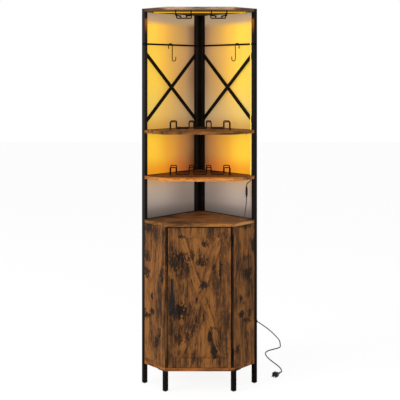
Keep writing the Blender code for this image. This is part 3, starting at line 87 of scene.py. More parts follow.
ROOT2 = sqrt(2)
WALL_LENGTH = 0.393
SIDE_DEPTH = 0.167
CORNER_Y = 0.2190005
TOTAL_HEIGHT = 1.800
BOARD = 0.015
FIT = 0.0003
MERGE = 0.00001
HOOK_RAIL_HEIGHT = 1.630
HOOK_RAIL_OUT = 0.014
HOOK_RAIL_RADIUS = 0.0045
CORD_EXIT_U = 0.352
CORD_EXIT_HEIGHT = 0.292
RIPPLE_SEED = 7.0
RIPPLE_SCALE = 420.0
SHARP_ANGLE = radians(30)
RAIL_NODES = ("top_board", "upper_shelf", "lower_shelf", "cabinet_top", "inner_shelf", "bottom_board")
CORD_ROUTE = [
    (0.2675, -0.0113, 0.2920),
    (0.2710, -0.0078, 0.2920),
    (0.2762, -0.0015, 0.2890),
    (0.2827, 0.0161, 0.2735),
    (0.2965, 0.0650, 0.2505),
    (0.3137, 0.1261, 0.2232),
    (0.3497, 0.2311, 0.1712),
    (0.3866, 0.3311, 0.1156),
    (0.4208, 0.4161, 0.0610),
    (0.4338, 0.4613, 0.0356),
    (0.4382, 0.4670, 0.0264),
    (0.4405, 0.4670, 0.0140),
    (0.4410, 0.4600, 0.0046),
    (0.4400, 0.4510, 0.0023),
    (0.4244, 0.4258, 0.0023),
    (0.3932, 0.4035, 0.0023),
    (0.3683, 0.3829, 0.0023),
    (0.3527, 0.3563, 0.0023),
    (0.3496, 0.3316, 0.0023),
    (0.3565, 0.2815, 0.0023),
    (0.3764, 0.2179, 0.0023),
    (0.3986, 0.1590, 0.0023),
    (0.4087, 0.1184, 0.0023),
    (0.4090, 0.0812, 0.0026),
    (0.4059, 0.0599, 0.0082),
    (0.3982, 0.0494, 0.0085),
]
PLUG_RINGS = (
    (0.0003, 0.0034, 0.0034, 0.0),
    (0.0030, 0.0039, 0.0039, 0.0),
    (0.0050, 0.0039, 0.0039, 0.0),
    (0.0054, 0.0034, 0.0034, 0.0),
    (0.0068, 0.0034, 0.0034, 0.0),
    (0.0072, 0.0042, 0.0042, 0.0),
    (0.0095, 0.0043, 0.0043, 0.0),
    (0.0099, 0.0037, 0.0037, 0.0),
    (0.0113, 0.0037, 0.0037, 0.0),
    (0.0117, 0.0048, 0.0046, 0.0),
    (0.0150, 0.0056, 0.0052, 0.0),
    (0.0200, 0.0066, 0.0058, 0.0),
    (0.0250, 0.0088, 0.0076, 0.0003),
    (0.0300, 0.0116, 0.0102, 0.0020),
    (0.0360, 0.0133, 0.0119, 0.0037),
    (0.0500, 0.0136, 0.0121, 0.0039),
    (0.0530, 0.0133, 0.0119, 0.0039),
    (0.0543, 0.0124, 0.0111, 0.0039),
)


class Side(Enum):
    """The two side frames, by the sign of their X."""

    LEFT = -1
    RIGHT = 1

    @property
    def label(self) -> str:
        """The word that starts this side's node names."""
        return self.name.lower()

    def spot(self, u: float, v: float, height: float = 0) -> Vector:
        """Returns the world point at u along this side's wall and v out from it."""
        return Vector((self.value * (u - v) / ROOT2, CORNER_Y - (u + v) / ROOT2, height))

    def along(self) -> Vector:
        """Returns the direction in which u grows."""
        return (self.spot(1, 0) - self.spot(0, 0)).normalized()

    def outward(self) -> Vector:
        """Returns the direction in which v grows."""
        return (self.spot(0, 1) - self.spot(0, 0)).normalized()


class Grain(Enum):
    """Which way the wood's grain runs."""

    UPRIGHT = "upright"
    LEVEL = "level"


# Shader helper


class Painter:
    """Builds one material's nodes with short calls."""

    def __init__(self, name: str) -> None:
        """Starts an empty material with a Principled shader.

        Args:
            name: The material's name.
        """
        self.material = bpy.data.materials.new(name)
        self.material.use_nodes = True
        self.tree = self.material.node_tree
        self.shader = self.tree.nodes["Principled BSDF"]

    def put(self, kind: str, **settings: object) -> bpy.types.Node:
        """Adds a node of a kind and returns it.

        Args:
            kind: The node's type.
            settings: Properties of the node to set.

        Returns:
            The node.
        """
        node = self.tree.nodes.new(kind)
        for key, value in settings.items():
            setattr(node, key, value)
        return node

    def feed(self, socket: Socket, value: object) -> None:
        """Links a socket, or sets its value.

        Args:
            socket: The input.
            value: A socket to link, a number or a colour.
        """
        if isinstance(value, Socket):
            self.tree.links.new(value, socket)
        elif isinstance(value, tuple) and socket.type == "RGBA" and len(value) == 3:
            socket.default_value = (*value, 1)
        else:
            socket.default_value = value

    def coords(self) -> Socket:
        """Returns the object coordinates."""
        return self.put("ShaderNodeTexCoord").outputs["Object"]

    def mapped(self, vector: object, turn: Point) -> Socket:
        """Returns coordinates turned about the axes.

        Args:
            vector: Coordinates.
            turn: The turn about each axis.

        Returns:
            The turned coordinates.
        """
        node = self.put("ShaderNodeMapping", vector_type="POINT")
        self.feed(node.inputs["Vector"], vector)
        node.inputs["Rotation"].default_value = turn
        return node.outputs[0]

    def vector(self, operation: str, first: object, second: object = None) -> Socket:
        """Returns a vector sum of the named kind.

        Args:
            operation: The vector operation.
            first: The first vector.
            second: The second vector.

        Returns:
            The outcome.
        """
        node = self.put("ShaderNodeVectorMath", operation=operation)
        self.feed(node.inputs[0], first)
        if second is not None:
            self.feed(node.inputs[1], second)
        return node.outputs["Value" if operation == "LENGTH" else "Vector"]

    def sums(self, operation: str, first: object, second: object = 0.0, clamp: bool = False) -> Socket:
        """Returns a number worked out by the named operation.

        Args:
            operation: The operation.
            first: The first number.
            second: The second number.
            clamp: Whether to keep it from 0 to 1.

        Returns:
            The outcome.
        """
        node = self.put("ShaderNodeMath", operation=operation, use_clamp=clamp)
        self.feed(node.inputs[0], first)
        self.feed(node.inputs[1], second)
        return node.outputs[0]

    def noise(
        self, vector: object, scale: float, detail: float = 4, rough: float = 0.55, warp: float = 0
    ) -> Socket:
        """Returns a noise from 0 to 1.

        Args:
            vector: Coordinates.
            scale: Waves a metre.
            detail: Octaves.
            rough: Share of the finer octaves.
            warp: Distortion.

        Returns:
            The noise.
        """
        node = self.put("ShaderNodeTexNoise")
        self.feed(node.inputs["Vector"], vector)
        node.inputs["Scale"].default_value = scale
        node.inputs["Detail"].default_value = detail
        node.inputs["Roughness"].default_value = rough
        node.inputs["Distortion"].default_value = warp
        return node.outputs[0]

    def span(self, value: object, low: float, high: float, start: float = 0, end: float = 1) -> Socket:
        """Returns a value moved from one span to another, clamped.

        Args:
            value: A number.
            low: Start of its span.
            high: End of its span.
            start: What low becomes.
            end: What high becomes.

        Returns:
            The moved value.
        """
        node = self.put("ShaderNodeMapRange", interpolation_type="SMOOTHSTEP")
        self.feed(node.inputs["Value"], value)
        for key, number in (("From Min", low), ("From Max", high), ("To Min", start), ("To Max", end)):
            node.inputs[key].default_value = number
        return node.outputs[0]

    def blend(self, share: object, first: object, second: object, kind: str = "MIX") -> Socket:
        """Returns a mix of two colours.

        Args:
            share: How much of the second.
            first: A colour.
            second: Another colour.
            kind: The way of mixing.

        Returns:
            The mix.
        """
        node = self.put("ShaderNodeMix", data_type="RGBA", blend_type=kind)
        self.feed(node.inputs[0], share)
        self.feed(node.inputs[6], first)
        self.feed(node.inputs[7], second)
        return node.outputs[2]

    def dimmed(self, colour: object, share: object) -> Socket:
        """Returns a colour times a number."""
        return self.blend(1.0, colour, self.join(share, share, share), "MULTIPLY")

    def ramp(self, value: object, stops: Stops) -> Socket:
        """Returns a colour from a ramp of stops.

        Args:
            value: Where on the ramp.
            stops: Places and colours.

        Returns:
            The colour.
        """
        node = self.put("ShaderNodeValToRGB")
        self.feed(node.inputs[0], value)
        band = node.color_ramp
        while len(band.elements) < len(stops):
            band.elements.new(0.5)
        for element, (place, colour) in zip(band.elements, stops):
            element.position = place
            element.color = (*colour, 1)
        return node.outputs[0]

    def split(self, vector: object) -> list[Socket]:
        """Returns the three parts of a vector.

        Args:
            vector: A vector.

        Returns:
            Its x, y and z.
        """
        node = self.put("ShaderNodeSeparateXYZ")
        self.feed(node.inputs[0], vector)
        return list(node.outputs)

    def join(self, x: object, y: object, z: object) -> Socket:
        """Returns a vector of three parts.

        Args:
            x: The first part.
            y: The second part.
            z: The third part.

        Returns:
            The vector.
        """
        node = self.put("ShaderNodeCombineXYZ")
        for socket, value in zip(node.inputs, (x, y, z)):
            self.feed(socket, value)
        return node.outputs[0]

    def stretched(self, vector: object, scales: Point, *looks: float) -> Socket:
        """Returns a noise with a scale of its own along each axis."""
        return self.noise(self.vector("MULTIPLY", vector, scales), 1, *looks)

    def weighed(self, *parts: tuple[object, float]) -> Socket:
        """Returns the sum of several values, each times its weight.

        Args:
            parts: Values with their weights.

        Returns:
            The sum.
        """
        total = self.sums("MULTIPLY", *parts[0])
        for value, weight in parts[1:]:
            total = self.sums("ADD", total, self.sums("MULTIPLY", value, weight))
        return total

    def product(self, first: object, *others: object) -> Socket:
        """Returns several values multiplied together.

        Args:
            first: A value.
            others: The values to multiply it by.

        Returns:
            The product.
        """
        total = first
        for value in others:
            total = self.sums("MULTIPLY", total, value)
        return total

    def relief(self, height: object, strength: float, distance: float) -> None:
        """Gives the surface a fine bump.

        Args:
            height: The pattern.
            strength: How much of it shows.
            distance: Its depth in metres.
        """
        node = self.put("ShaderNodeBump")
        node.inputs["Strength"].default_value = strength
        node.inputs["Distance"].default_value = distance
        self.feed(node.inputs["Height"], height)
        self.feed(self.shader.inputs["Normal"], node.outputs[0])

    def set(self, **values: object) -> None:
        """Sets or links shader sockets, with underscores for spaces in their names."""
        for key, value in values.items():
            self.feed(self.shader.inputs[key.replace("_", " ")], value)


# Finishes


@dataclass(frozen=True)
class PowderCoat:
    """Matte powder coat on steel: a faint orange-peel and uneven sheen.

    The sheen is stronger on the left half, which faces the key lamp, than on the shaded
    right half.  It fades towards the floor and is faint on the hook rails.
    """

    name: str = "powder_coat"
    colour: Colour = (0.0050, 0.0036, 0.0025)
    worn: Colour = (0.0088, 0.0066, 0.0048)
    roughness: float = 0.50
    shine: float = 0.160
    shaded: float = 0.062
    fade_heights: Span = (0.10, 0.80)
    foot_share: float = 0.20
    rail_share: float = 0.15
    rail_edge: Span = (0.0046, 0.0060)
    # Painted light: the upper strip's glow, painted on the side posts' inner faces near the top.
    ember: float = 0.0
    ember_colour: Colour = (0.30, 0.085, 0.002)
    ember_out: tuple[float, float, float, float] = (0.246, 0.250, 0.2600, 0.2645)
    ember_rise: tuple[float, float, float, float] = (1.672, 1.735, 1.744, 1.758)

    def build(self) -> Material:
        """Returns the material.

        The upper strip's light can be painted as a glow on the side posts' inner faces near the top.

        Returns:
            The material.
        """
        p = Painter(self.name)
        at = p.coords()
        cloud = p.noise(at, 14, 3)
        peel = p.noise(at, 1100, 2)
        tone = p.span(cloud, 0.35, 0.7)
        sheen = p.sums("ADD", cloud, p.sums("MULTIPLY", peel, 0.3))
        p.set(
            Base_Color=p.blend(tone, self.colour, self.worn),
            Roughness=p.span(sheen, 0.4, 0.9, self.roughness - 0.06, self.roughness + 0.08),
        )
        x, _, z = p.split(at)
        sides = p.span(x, -0.01, 0.01, self.shine, self.shaded)
        fade = p.span(z, *self.fade_heights, self.foot_share, 1)
        off_rail = p.sums("ABSOLUTE", p.sums("SUBTRACT", z, HOOK_RAIL_HEIGHT))
        rail = p.span(off_rail, *self.rail_edge, self.rail_share, 1)
        p.set(Specular_IOR_Level=p.product(sides, fade, rail))
        # Painted light: the strip's glow laid on the posts as emission, in a band near the top.
        if self.ember:
            band = self.within(p, p.sums("ABSOLUTE", x), self.ember_out)
            rise = self.within(p, z, self.ember_rise)
            p.set(Emission_Color=self.ember_colour, Emission_Strength=p.product(band, rise, self.ember))
        p.relief(peel, 0.25, 0.00012)
        return p.material

    def within(self, p: Painter, value: object, edges: tuple[float, float, float, float]) -> Socket:
        """Returns 1 between the two middle edges, fading to 0 at the outer ones."""
        return p.sums("MULTIPLY", p.span(value, *edges[:2]), p.span(value, *edges[2:], 1, 0))


@dataclass(frozen=True)
class Moulded:
    """Moulded plastic with a fine spark texture."""

    name: str
    colour: Colour
    roughness: float = 0.5
    shine: float = 0.2
    tones: Span = (0.86, 1.12)

    def build(self) -> Material:
        """Returns the material.

        Returns:
            The material.
        """
        p = Painter(self.name)
        at = p.coords()
        grit = p.noise(at, 1600, 2)
        cloud = p.noise(at, 40, 3)
        p.set(
            Base_Color=p.dimmed(self.colour, p.span(cloud, 0.3, 0.75, *self.tones)),
            Roughness=p.span(grit, 0.3, 0.7, self.roughness - 0.05, self.roughness + 0.07),
            Specular_IOR_Level=self.shine,
        )
        p.relief(grit, 0.18, 0.00008)
        return p.material


@dataclass(frozen=True)
class BrightZinc:
    """Zinc-plated steel, faintly streaked."""

    name: str = "bright_zinc"
    colour: Colour = (0.56, 0.56, 0.57)
    dull: Colour = (0.42, 0.41, 0.38)
    roughness: Span = (0.22, 0.42)
    brush_scales: Point = (2600, 2600, 160)

    def build(self) -> Material:
        """Returns the material.

        Returns:
            The material.
        """
        p = Painter(self.name)
        at = p.coords()
        cloud = p.noise(at, 160, 4)
        brushed = p.stretched(at, self.brush_scales, 3)
        p.set(
            Base_Color=p.blend(cloud, self.colour, self.dull),
            Roughness=p.span(brushed, 0.25, 0.75, *self.roughness),
            Metallic=1.0,
        )
        p.relief(brushed, 0.12, 0.00005)
        return p.material


@dataclass(frozen=True)
class LeadSheath:
    """The lead's sheath: pale, with the strips' light painted on it in the lit bays as a warm colour and a
    glow, and dark below the lower shelf.
    """

    name: str = "lead_sheath"
    pale: Colour = (0.60, 0.47, 0.33)
    # Painted light: the warm colour and the glow that stand in for the strips' light.
    lit: Colour = (0.66, 0.48, 0.12)
    dark: Colour = (0.100, 0.084, 0.070)
    glow: Colour = (1.0, 0.66, 0.055)
    glow_strength: float = 0.44
    tones: Span = (0.90, 1.08)
    roughness: Span = (0.42, 0.54)
    top_heights: Span = (1.715, 1.760)
    shelf_heights: Span = (0.985, 0.994)

    def build(self) -> Material:
        """Returns the material.

        Returns:
            The material.
        """
        p = Painter(self.name)
        at = p.coords()
        height = p.split(at)[2]
        grit = p.noise(at, 1400, 2)
        shade = p.span(p.noise(at, 60, 3), 0.3, 0.75, *self.tones)
        above_shelf = p.span(height, *self.shelf_heights)
        # Painted light: from the lower shelf up to just under the top strip, the sheath takes the warm
        # painted colour and glows.
        bright = p.product(p.span(height, *self.top_heights, 1, 0), above_shelf)
        colour = p.blend(above_shelf, self.dark, p.blend(bright, self.pale, self.lit))
        p.set(
            Base_Color=p.dimmed(colour, shade),
            Roughness=p.span(grit, 0.3, 0.7, *self.roughness),
            Emission_Color=self.glow,
            Emission_Strength=p.sums("MULTIPLY", bright, self.glow_strength),
        )
        p.relief(grit, 0.18, 0.00008)
        return p.material


@dataclass(frozen=True)
class RusticWood:
    """Rustic brown wood: streaky grain, smoky patches and knots placed one by one.

    Each patch is (across, height, half width, half height, strength), in metres.  Knots and
    painted shadows darken the wood and sheens lift it, both with torn edges.  Painted shades
    and painted highlights have even edges, and the painted shades fade out from one depth to
    the other of lit_front.  Scales are counted across the grain, across it again, and along it.
    """

    name: str
    grain: Grain = Grain.UPRIGHT
    facing: Point = (0, 0, 0)
    lean: Point = (0, 0, 0)
    shift: Point = (0, 0, 0)
    # Knots and painted shadows, both darkening the wood.
    knots: Patches = ()
    sheens: Patches = ()
    shades: Patches = ()
    lit_front: Span | None = None
    # Painted highlight patches, and the pale colour that they lay on.
    blushes: Patches = ()
    blush: Colour = (0.66, 0.31, 0.105)
    smoke: float = 0.45
    lift: float = 0.0
    raggedness: float = 2.6
    streak_scales: Point = (84, 84, 7.5)
    fibre_scales: Point = (330, 330, 26)
    pore_scales: Point = (160, 160, 17)
    tone_scales: Point = (15, 15, 6)
    mottle_scales: Point = (125, 125, 34)
    smoke_scales: Point = (19, 19, 8.5)
    tear_scales: Point = (120, 120, 70)
    body_weights: tuple[float, ...] = (0.38, 0.12, 0.17, 0.41)
    relief_weights: tuple[float, ...] = (0.5, 1, -1)
    smoke_edges: Span = (0.55, 0.67)
    wear_edges: tuple[float, ...] = (0.44, 0.60, 1.25, 0.70)
    pore_edges: tuple[float, ...] = (0.59, 0.68, 0, 0.62)
    patch_edges: Span = (0.70, 1.15)
    deep_share: float = 0.25
    roughness: Span = (0.56, 0.70)
    shine: float = 0.08
    stop_shares: tuple[float, ...] = (0.425, 0.472, 0.530, 0.605)
    light: Colour = (0.300, 0.118, 0.031)
    mid: Colour = (0.158, 0.063, 0.0195)
    deep: Colour = (0.062, 0.028, 0.0125)
    char: Colour = (0.021, 0.0125, 0.0085)

    def build(self) -> Material:
        """Returns the material.

        Returns:
            The material.
        """
        p = Painter(self.name)
        faced = p.mapped(p.coords(), self.facing)
        x, y, z = p.split(p.mapped(faced, self.lean))
        at = p.join(x, y, z) if self.grain is Grain.UPRIGHT else p.join(y, z, x)
        sown = p.vector("ADD", at, self.shift)
        streaks = p.stretched(sown, self.streak_scales, 6, 0.64, 0.6)
        fibres = p.stretched(sown, self.fibre_scales, 4, 0.6)
        pores = p.stretched(sown, self.pore_scales, 3, 0.6, 0.3)
        tone = p.stretched(sown, self.tone_scales, 5, 0.55)
        mottle = p.stretched(sown, self.mottle_scales, 4, 0.62, 0.5)
        smoky = p.stretched(sown, self.smoke_scales, 5, 0.66, 0.9)
        body = p.weighed(*zip((streaks, fibres, mottle, tone), self.body_weights))
        body = p.sums("ADD", body, self.lift)
        if self.sheens:
            body = p.sums("ADD", body, self.placed(p, faced, self.sheens))
        colour = p.ramp(body, tuple(zip(self.stop_shares, (self.char, self.deep, self.mid, self.light))))
        dark = p.sums("MULTIPLY", p.span(smoky, *self.smoke_edges), self.smoke)
        # Knots and painted shadows darken the wood.
        if self.knots:
            dark = p.sums("MAXIMUM", dark, self.placed(p, faced, self.knots))
        worn = p.weighed((mottle, 0.6), (streaks, 0.4))
        dark = p.sums("MULTIPLY", dark, p.span(worn, *self.wear_edges), True)
        colour = p.blend(dark, colour, self.char)
        line = p.span(pores, *self.pore_edges)
        colour = p.blend(line, colour, self.char)
        # Painted shade: the shades darken the wood towards char, and less so towards a lit front.
        if self.shades:
            shade = self.placed(p, faced, self.shades, False)
            if self.lit_front is not None:
                depth = p.split(faced)[1]
                shade = p.sums("MULTIPLY", shade, p.span(depth, *self.lit_front, self.deep_share, 1))
            colour = p.blend(shade, colour, self.char)
        # Painted highlight: a pale colour laid where an edge catches light.
        if self.blushes:
            colour = p.blend(self.placed(p, faced, self.blushes, False), colour, self.blush)
        gloss = p.span(p.sums("ADD", fibres, dark), 0.3, 1.3, *self.roughness)
        p.set(Base_Color=colour, Roughness=gloss, Specular_IOR_Level=self.shine)
        p.relief(p.weighed(*zip((streaks, fibres, line), self.relief_weights)), 0.32, 0.0004)
        return p.material

    def placed(self, p: Painter, at: object, patches: Patches, ragged: bool = True) -> Socket:
        """Returns how strongly the listed patches act at each point.

        Args:
            p: The painter of this material.
            at: The coordinates, with the face across X and Z.
            patches: The patches.
            ragged: Whether the patches' edges are torn.

        Returns:
            A number, the strongest patch's strength at its middle.
        """
        wobble = p.put("ShaderNodeTexNoise")
        p.feed(wobble.inputs["Vector"], p.vector("MULTIPLY", at, self.tear_scales))
        wobble.inputs["Detail"].default_value = 4
        wobble.inputs["Scale"].default_value = 1
        centred = p.vector("SUBTRACT", wobble.outputs["Color"], (0.5, 0.5, 0.5))
        torn = p.vector("MULTIPLY", centred, (self.raggedness, 0.0, self.raggedness))
        total: object = None
        for across, height, half_width, half_height, strength in patches:
            away = p.vector("SUBTRACT", at, (across, 0, height))
            away = p.vector("MULTIPLY", away, (1 / half_width, 0, 1 / half_height))
            if ragged:
                away = p.vector("ADD", away, torn)
            patch = p.span(p.vector("LENGTH", away), *self.patch_edges, strength, 0)
            total = patch if total is None else p.sums("MAXIMUM", total, patch)
        return total


@dataclass(frozen=True)
class BackBoard:
    """Thin plain back, with the strips' light painted on the side that faces the bays as colour and glow.

    The stops run outward from the corner, as shares of the glow's reach, or upward through
    the bay under the lower shelf.  Each pair of heights is where one look fades into another:
    painted shade under the top board and over the upper shelf, and painted orange light near the
    lower shelf.
    """

    name: str = "back_board"
    plain: Colour = (0.36, 0.30, 0.25)
    dusky: Colour = (0.32, 0.26, 0.21)
    # Painted light and shade colours: tan under the top board, sandy low in the top bay, rosy shade over the
    # upper shelf, and fiery orange light near the lower shelf.
    tan: Colour = (0.50, 0.36, 0.215)
    sandy: Colour = (0.64, 0.50, 0.25)
    rosy: Colour = (0.80, 0.62, 0.52)
    fiery: Colour = (0.90, 0.36, 0.016)
    tan_heights: Span = (1.718, 1.752)
    sandy_heights: Span = (1.27, 1.46)
    rosy_heights: Span = (1.205, 1.300)
    fiery_heights: Span = (1.01, 1.09)
    upper_shelf_heights: Span = (1.203, 1.212)
    lower_shelf_heights: Span = (0.984, 0.993)
    worktop_heights: Span = (0.775, 0.785)
    front_depths: Span = (-0.0028, -0.0014)
    seam: Span = (-0.001, 0.001)
    side_shifts: Span = (-0.010, 0.010)
    cloud_shifts: Span = (-0.006, 0.006)
    sandy_shares: Span = (0.30, 0.46)
    rosy_share: float = 0.9
    fiery_share: float = 0.6
    outer_shares: Span = (0.25, 0.75)
    glow_strengths: Span = (0.50, 0.62)
    glow_loss: float = 0.85
    roughness: Span = (0.62, 0.74)
    shine: float = 0.15
    reach: float = 0.25
    low_start: float = 0.780
    low_rise: float = 0.200
    # Painted glow colours for the top and middle bays, and painted light and shade for the bay under the
    # lower shelf.
    top_stops: Stops = (
        (0.08, (0.260, 0.135, 0.070)),
        (0.17, (0.390, 0.230, 0.115)),
        (0.24, (0.520, 0.300, 0.125)),
        (0.36, (0.620, 0.360, 0.115)),
        (0.48, (0.730, 0.420, 0.100)),
        (0.60, (0.870, 0.500, 0.088)),
        (0.70, (0.965, 0.570, 0.078)),
        (0.82, (1.000, 0.650, 0.080)),
    )
    middle_stops: Stops = (
        (0.08, (0.150, 0.066, 0.029)),
        (0.17, (0.330, 0.150, 0.058)),
        (0.24, (0.460, 0.205, 0.066)),
        (0.36, (0.620, 0.270, 0.060)),
        (0.48, (0.780, 0.365, 0.054)),
        (0.60, (0.880, 0.445, 0.047)),
        (0.70, (0.980, 0.550, 0.048)),
        (0.82, (1.000, 0.620, 0.050)),
    )
    outer_low_stops: Stops = (
        (0.04, (0.140, 0.120, 0.105)),
        (0.19, (0.235, 0.190, 0.165)),
        (0.33, (0.400, 0.325, 0.280)),
        (0.49, (0.500, 0.415, 0.350)),
        (0.73, (0.600, 0.450, 0.340)),
        (0.97, (0.760, 0.450, 0.190)),
    )
    inner_low_stops: Stops = (
        (0.04, (0.125, 0.106, 0.092)),
        (0.19, (0.205, 0.165, 0.142)),
        (0.33, (0.300, 0.240, 0.205)),
        (0.49, (0.330, 0.262, 0.220)),
        (0.73, (0.400, 0.300, 0.235)),
        (0.97, (0.380, 0.250, 0.180)),
    )

    def build(self) -> Material:
        """Returns the material.

        Returns:
            The material.
        """
        p = Painter(self.name)
        at = p.coords()
        x, y, z = p.split(at)
        out = p.sums("ABSOLUTE", x)
        weave = p.noise(at, 260, 3)
        cloud = p.noise(at, 5, 3, 0.5)
        depth = p.sums("SUBTRACT", p.sums("SUBTRACT", CORNER_Y, y), out)
        front = p.span(depth, *self.front_depths)
        grown = p.sums("ADD", out, p.span(x, *self.seam, *self.side_shifts))
        grown = p.sums("ADD", grown, p.span(cloud, 0.3, 0.7, *self.cloud_shifts))
        share = p.sums("DIVIDE", grown, self.reach)
        rise = p.sums("DIVIDE", p.sums("SUBTRACT", z, self.low_start), self.low_rise)
        # Painted light and shade: the strips' glow and the boards' shade, laid on as colour and as emission.
        top = p.ramp(share, self.top_stops)
        faded = p.span(x, *self.seam, *self.sandy_shares)
        top = p.blend(p.product(p.span(z, *self.sandy_heights, 1, 0), faded), top, self.sandy)
        top = p.blend(p.span(z, *self.rosy_heights, self.rosy_share, 0), top, self.rosy, "MULTIPLY")
        top = p.blend(p.span(z, *self.tan_heights), top, self.tan)
        middle = p.ramp(share, self.middle_stops)
        fire = p.span(z, *self.fiery_heights, self.fiery_share, 0)
        middle = p.blend(fire, middle, self.fiery, "MULTIPLY")
        side = p.span(share, *self.outer_shares)
        low = p.blend(side, p.ramp(rise, self.inner_low_stops), p.ramp(rise, self.outer_low_stops))
        above_low = p.span(z, *self.lower_shelf_heights)
        bays = p.blend(p.span(z, *self.upper_shelf_heights), p.blend(above_low, low, middle), top)
        shown = p.product(front, p.span(z, *self.worktop_heights))
        glow = p.product(shown, p.span(z, *self.lower_shelf_heights, *self.glow_strengths))
        kept = p.sums("SUBTRACT", 1.0, p.product(glow, self.glow_loss))
        colour = p.blend(shown, p.blend(cloud, self.plain, self.dusky), bays)
        p.set(
            Base_Color=p.dimmed(colour, kept),
            Roughness=p.span(weave, 0.3, 0.7, *self.roughness),
            Emission_Color=bays,
            Emission_Strength=glow,
            Specular_IOR_Level=self.shine,
        )
        p.relief(weave, 0.08, 0.0001)
        return p.material


@dataclass(frozen=True)
class StripGlow:
    """Lit diffuser of the light strip, a little brighter over each diode."""

    name: str = "strip_glow"
    pitch: float = 0.0125
    between: Colour = (0.30, 0.17, 0.010)
    over: Colour = (0.36, 0.21, 0.016)
    cool_glow: Colour = (1.0, 0.50, 0.004)
    hot_glow: Colour = (1.0, 0.56, 0.010)
    strengths: Span = (0.56, 0.72)
    roughness: Span = (0.30, 0.45)
    shine: float = 0.08

    def build(self) -> Material:
        """Returns the material.

        Returns:
            The material.
        """
        p = Painter(self.name)
        x = p.split(p.coords())[0]
        wave = p.sums("SINE", p.sums("MULTIPLY", x, 2 * pi / self.pitch))
        hot = p.span(wave, -1, 1)
        p.set(
            Base_Color=p.blend(hot, self.between, self.over),
            Emission_Color=p.blend(hot, self.cool_glow, self.hot_glow),
            Emission_Strength=p.span(hot, 0, 1, *self.strengths),
            Roughness=p.span(p.noise(p.coords(), 600, 2), 0.3, 0.7, *self.roughness),
            Specular_IOR_Level=self.shine,
        )
        return p.material


@dataclass(frozen=True)
class Palette:
    """Every finish of the cabinet, built once."""

    steel: Material
    frame: Material
    wire: Material
    handle: Material
    plastic: Material
    cord: Material
    lead: Material
    zinc: Material
    strip: Material
    back: Material
    door: Material
    rising: Material
    falling: Material
    left_panel: Material
    right_panel: Material
    left_strip: Material
    right_strip: Material
    boards: dict[str, Material]


# Smoky patches and knots of the door and its planks, with painted shadows along the planks' edges.
DOOR_KNOTS_AND_SHADOWS = (
    (-0.084, 0.727, 0.018, 0.010, 0.80),
    (0.0275, 0.691, 0.018, 0.018, 0.90),
    (-0.098, 0.606, 0.046, 0.050, 1.00),
    (-0.035, 0.640, 0.012, 0.035, 0.65),
    (-0.057, 0.570, 0.015, 0.030, 0.65),
    (0.010, 0.610, 0.028, 0.026, 0.90),
    (0.126, 0.749, 0.012, 0.030, 0.65),
    (0.139, 0.695, 0.012, 0.040, 0.60),
    (0.068, 0.579, 0.010, 0.030, 0.60),
    (0.099, 0.570, 0.009, 0.055, 0.90),
    (0.0185, 0.499, 0.020, 0.018, 1.00),
    (-0.004, 0.655, 0.005, 0.030, 0.60),
    (-0.070, 0.550, 0.020, 0.025, 0.65),
    (-0.129, 0.675, 0.008, 0.040, 0.50),
    (0.090, 0.490, 0.008, 0.040, 0.55),
    (-0.100, 0.374, 0.045, 0.038, 1.00),
    (0.103, 0.660, 0.010, 0.060, 0.45),
    # Painted shadow along the rising plank's lower-left edge, in the next three patches.
    (-0.0125, 0.428, 0.006, 0.024, 0.85),
    (-0.033, 0.292, 0.010, 0.034, 0.80),
    (-0.058, 0.250, 0.012, 0.034, 0.70),
    (-0.011, 0.333, 0.011, 0.026, 0.75),
    (-0.020, 0.305, 0.014, 0.008, 0.55),
    (-0.098, 0.252, 0.018, 0.036, 0.75),
    (-0.085, 0.300, 0.012, 0.020, 0.60),
    # Painted shadow along the falling plank's lower-left edge, in the next three patches.
    (0.019, 0.343, 0.006, 0.030, 0.75),
    (0.050, 0.262, 0.011, 0.042, 1.00),
    (0.070, 0.185, 0.015, 0.032, 1.00),
    (0.090, 0.150, 0.008, 0.030, 0.65),
    (0.062, 0.300, 0.016, 0.008, 0.60),
    (-0.030, 0.158, 0.011, 0.028, 0.65),
    (-0.100, 0.170, 0.010, 0.050, 0.45),
    (0.125, 0.440, 0.024, 0.300, 0.38),
)
DOOR_SHEENS = (
    (-0.045, 0.470, 0.055, 0.090, 0.030),
    (0.050, 0.440, 0.032, 0.090, 0.022),
    (0.000, 0.240, 0.030, 0.080, 0.022),
    (-0.120, 0.220, 0.020, 0.060, 0.018),
    (-0.120, 0.735, 0.026, 0.028, 0.025),
)
LEFT_KNOTS = (
    (-0.104, 0.756, 0.036, 0.026, 1.00),
    (-0.113, 0.618, 0.024, 0.026, 0.85),
    (-0.121, 0.540, 0.024, 0.026, 0.95),
    (-0.012, 0.540, 0.016, 0.030, 0.85),
    (-0.080, 0.431, 0.009, 0.020, 1.00),
    (-0.081, 0.357, 0.016, 0.016, 1.10),
    (-0.130, 0.342, 0.015, 0.032, 0.90),
    (-0.104, 0.335, 0.020, 0.010, 0.90),
    (-0.028, 0.262, 0.010, 0.030, 0.90),
    (-0.050, 0.219, 0.015, 0.024, 1.00),
    (-0.110, 0.120, 0.040, 0.010, 0.50),
    (-0.002, 0.650, 0.012, 0.100, 0.50),
    (-0.085, 0.660, 0.006, 0.040, 0.50),
)
RIGHT_KNOTS = (
    (0.077, 0.768, 0.050, 0.016, 0.80),
    (0.125, 0.665, 0.015, 0.034, 0.90),
    (0.075, 0.612, 0.030, 0.015, 0.55),
    (0.086, 0.543, 0.028, 0.026, 1.05),
    (0.105, 0.500, 0.010, 0.020, 0.65),
    (0.038, 0.430, 0.009, 0.022, 1.05),
    (0.066, 0.402, 0.012, 0.012, 0.55),
    (0.042, 0.352, 0.018, 0.018, 1.10),
    (0.100, 0.352, 0.014, 0.030, 1.00),
    (0.082, 0.318, 0.026, 0.018, 0.85),
    (0.012, 0.192, 0.018, 0.026, 1.00),
)
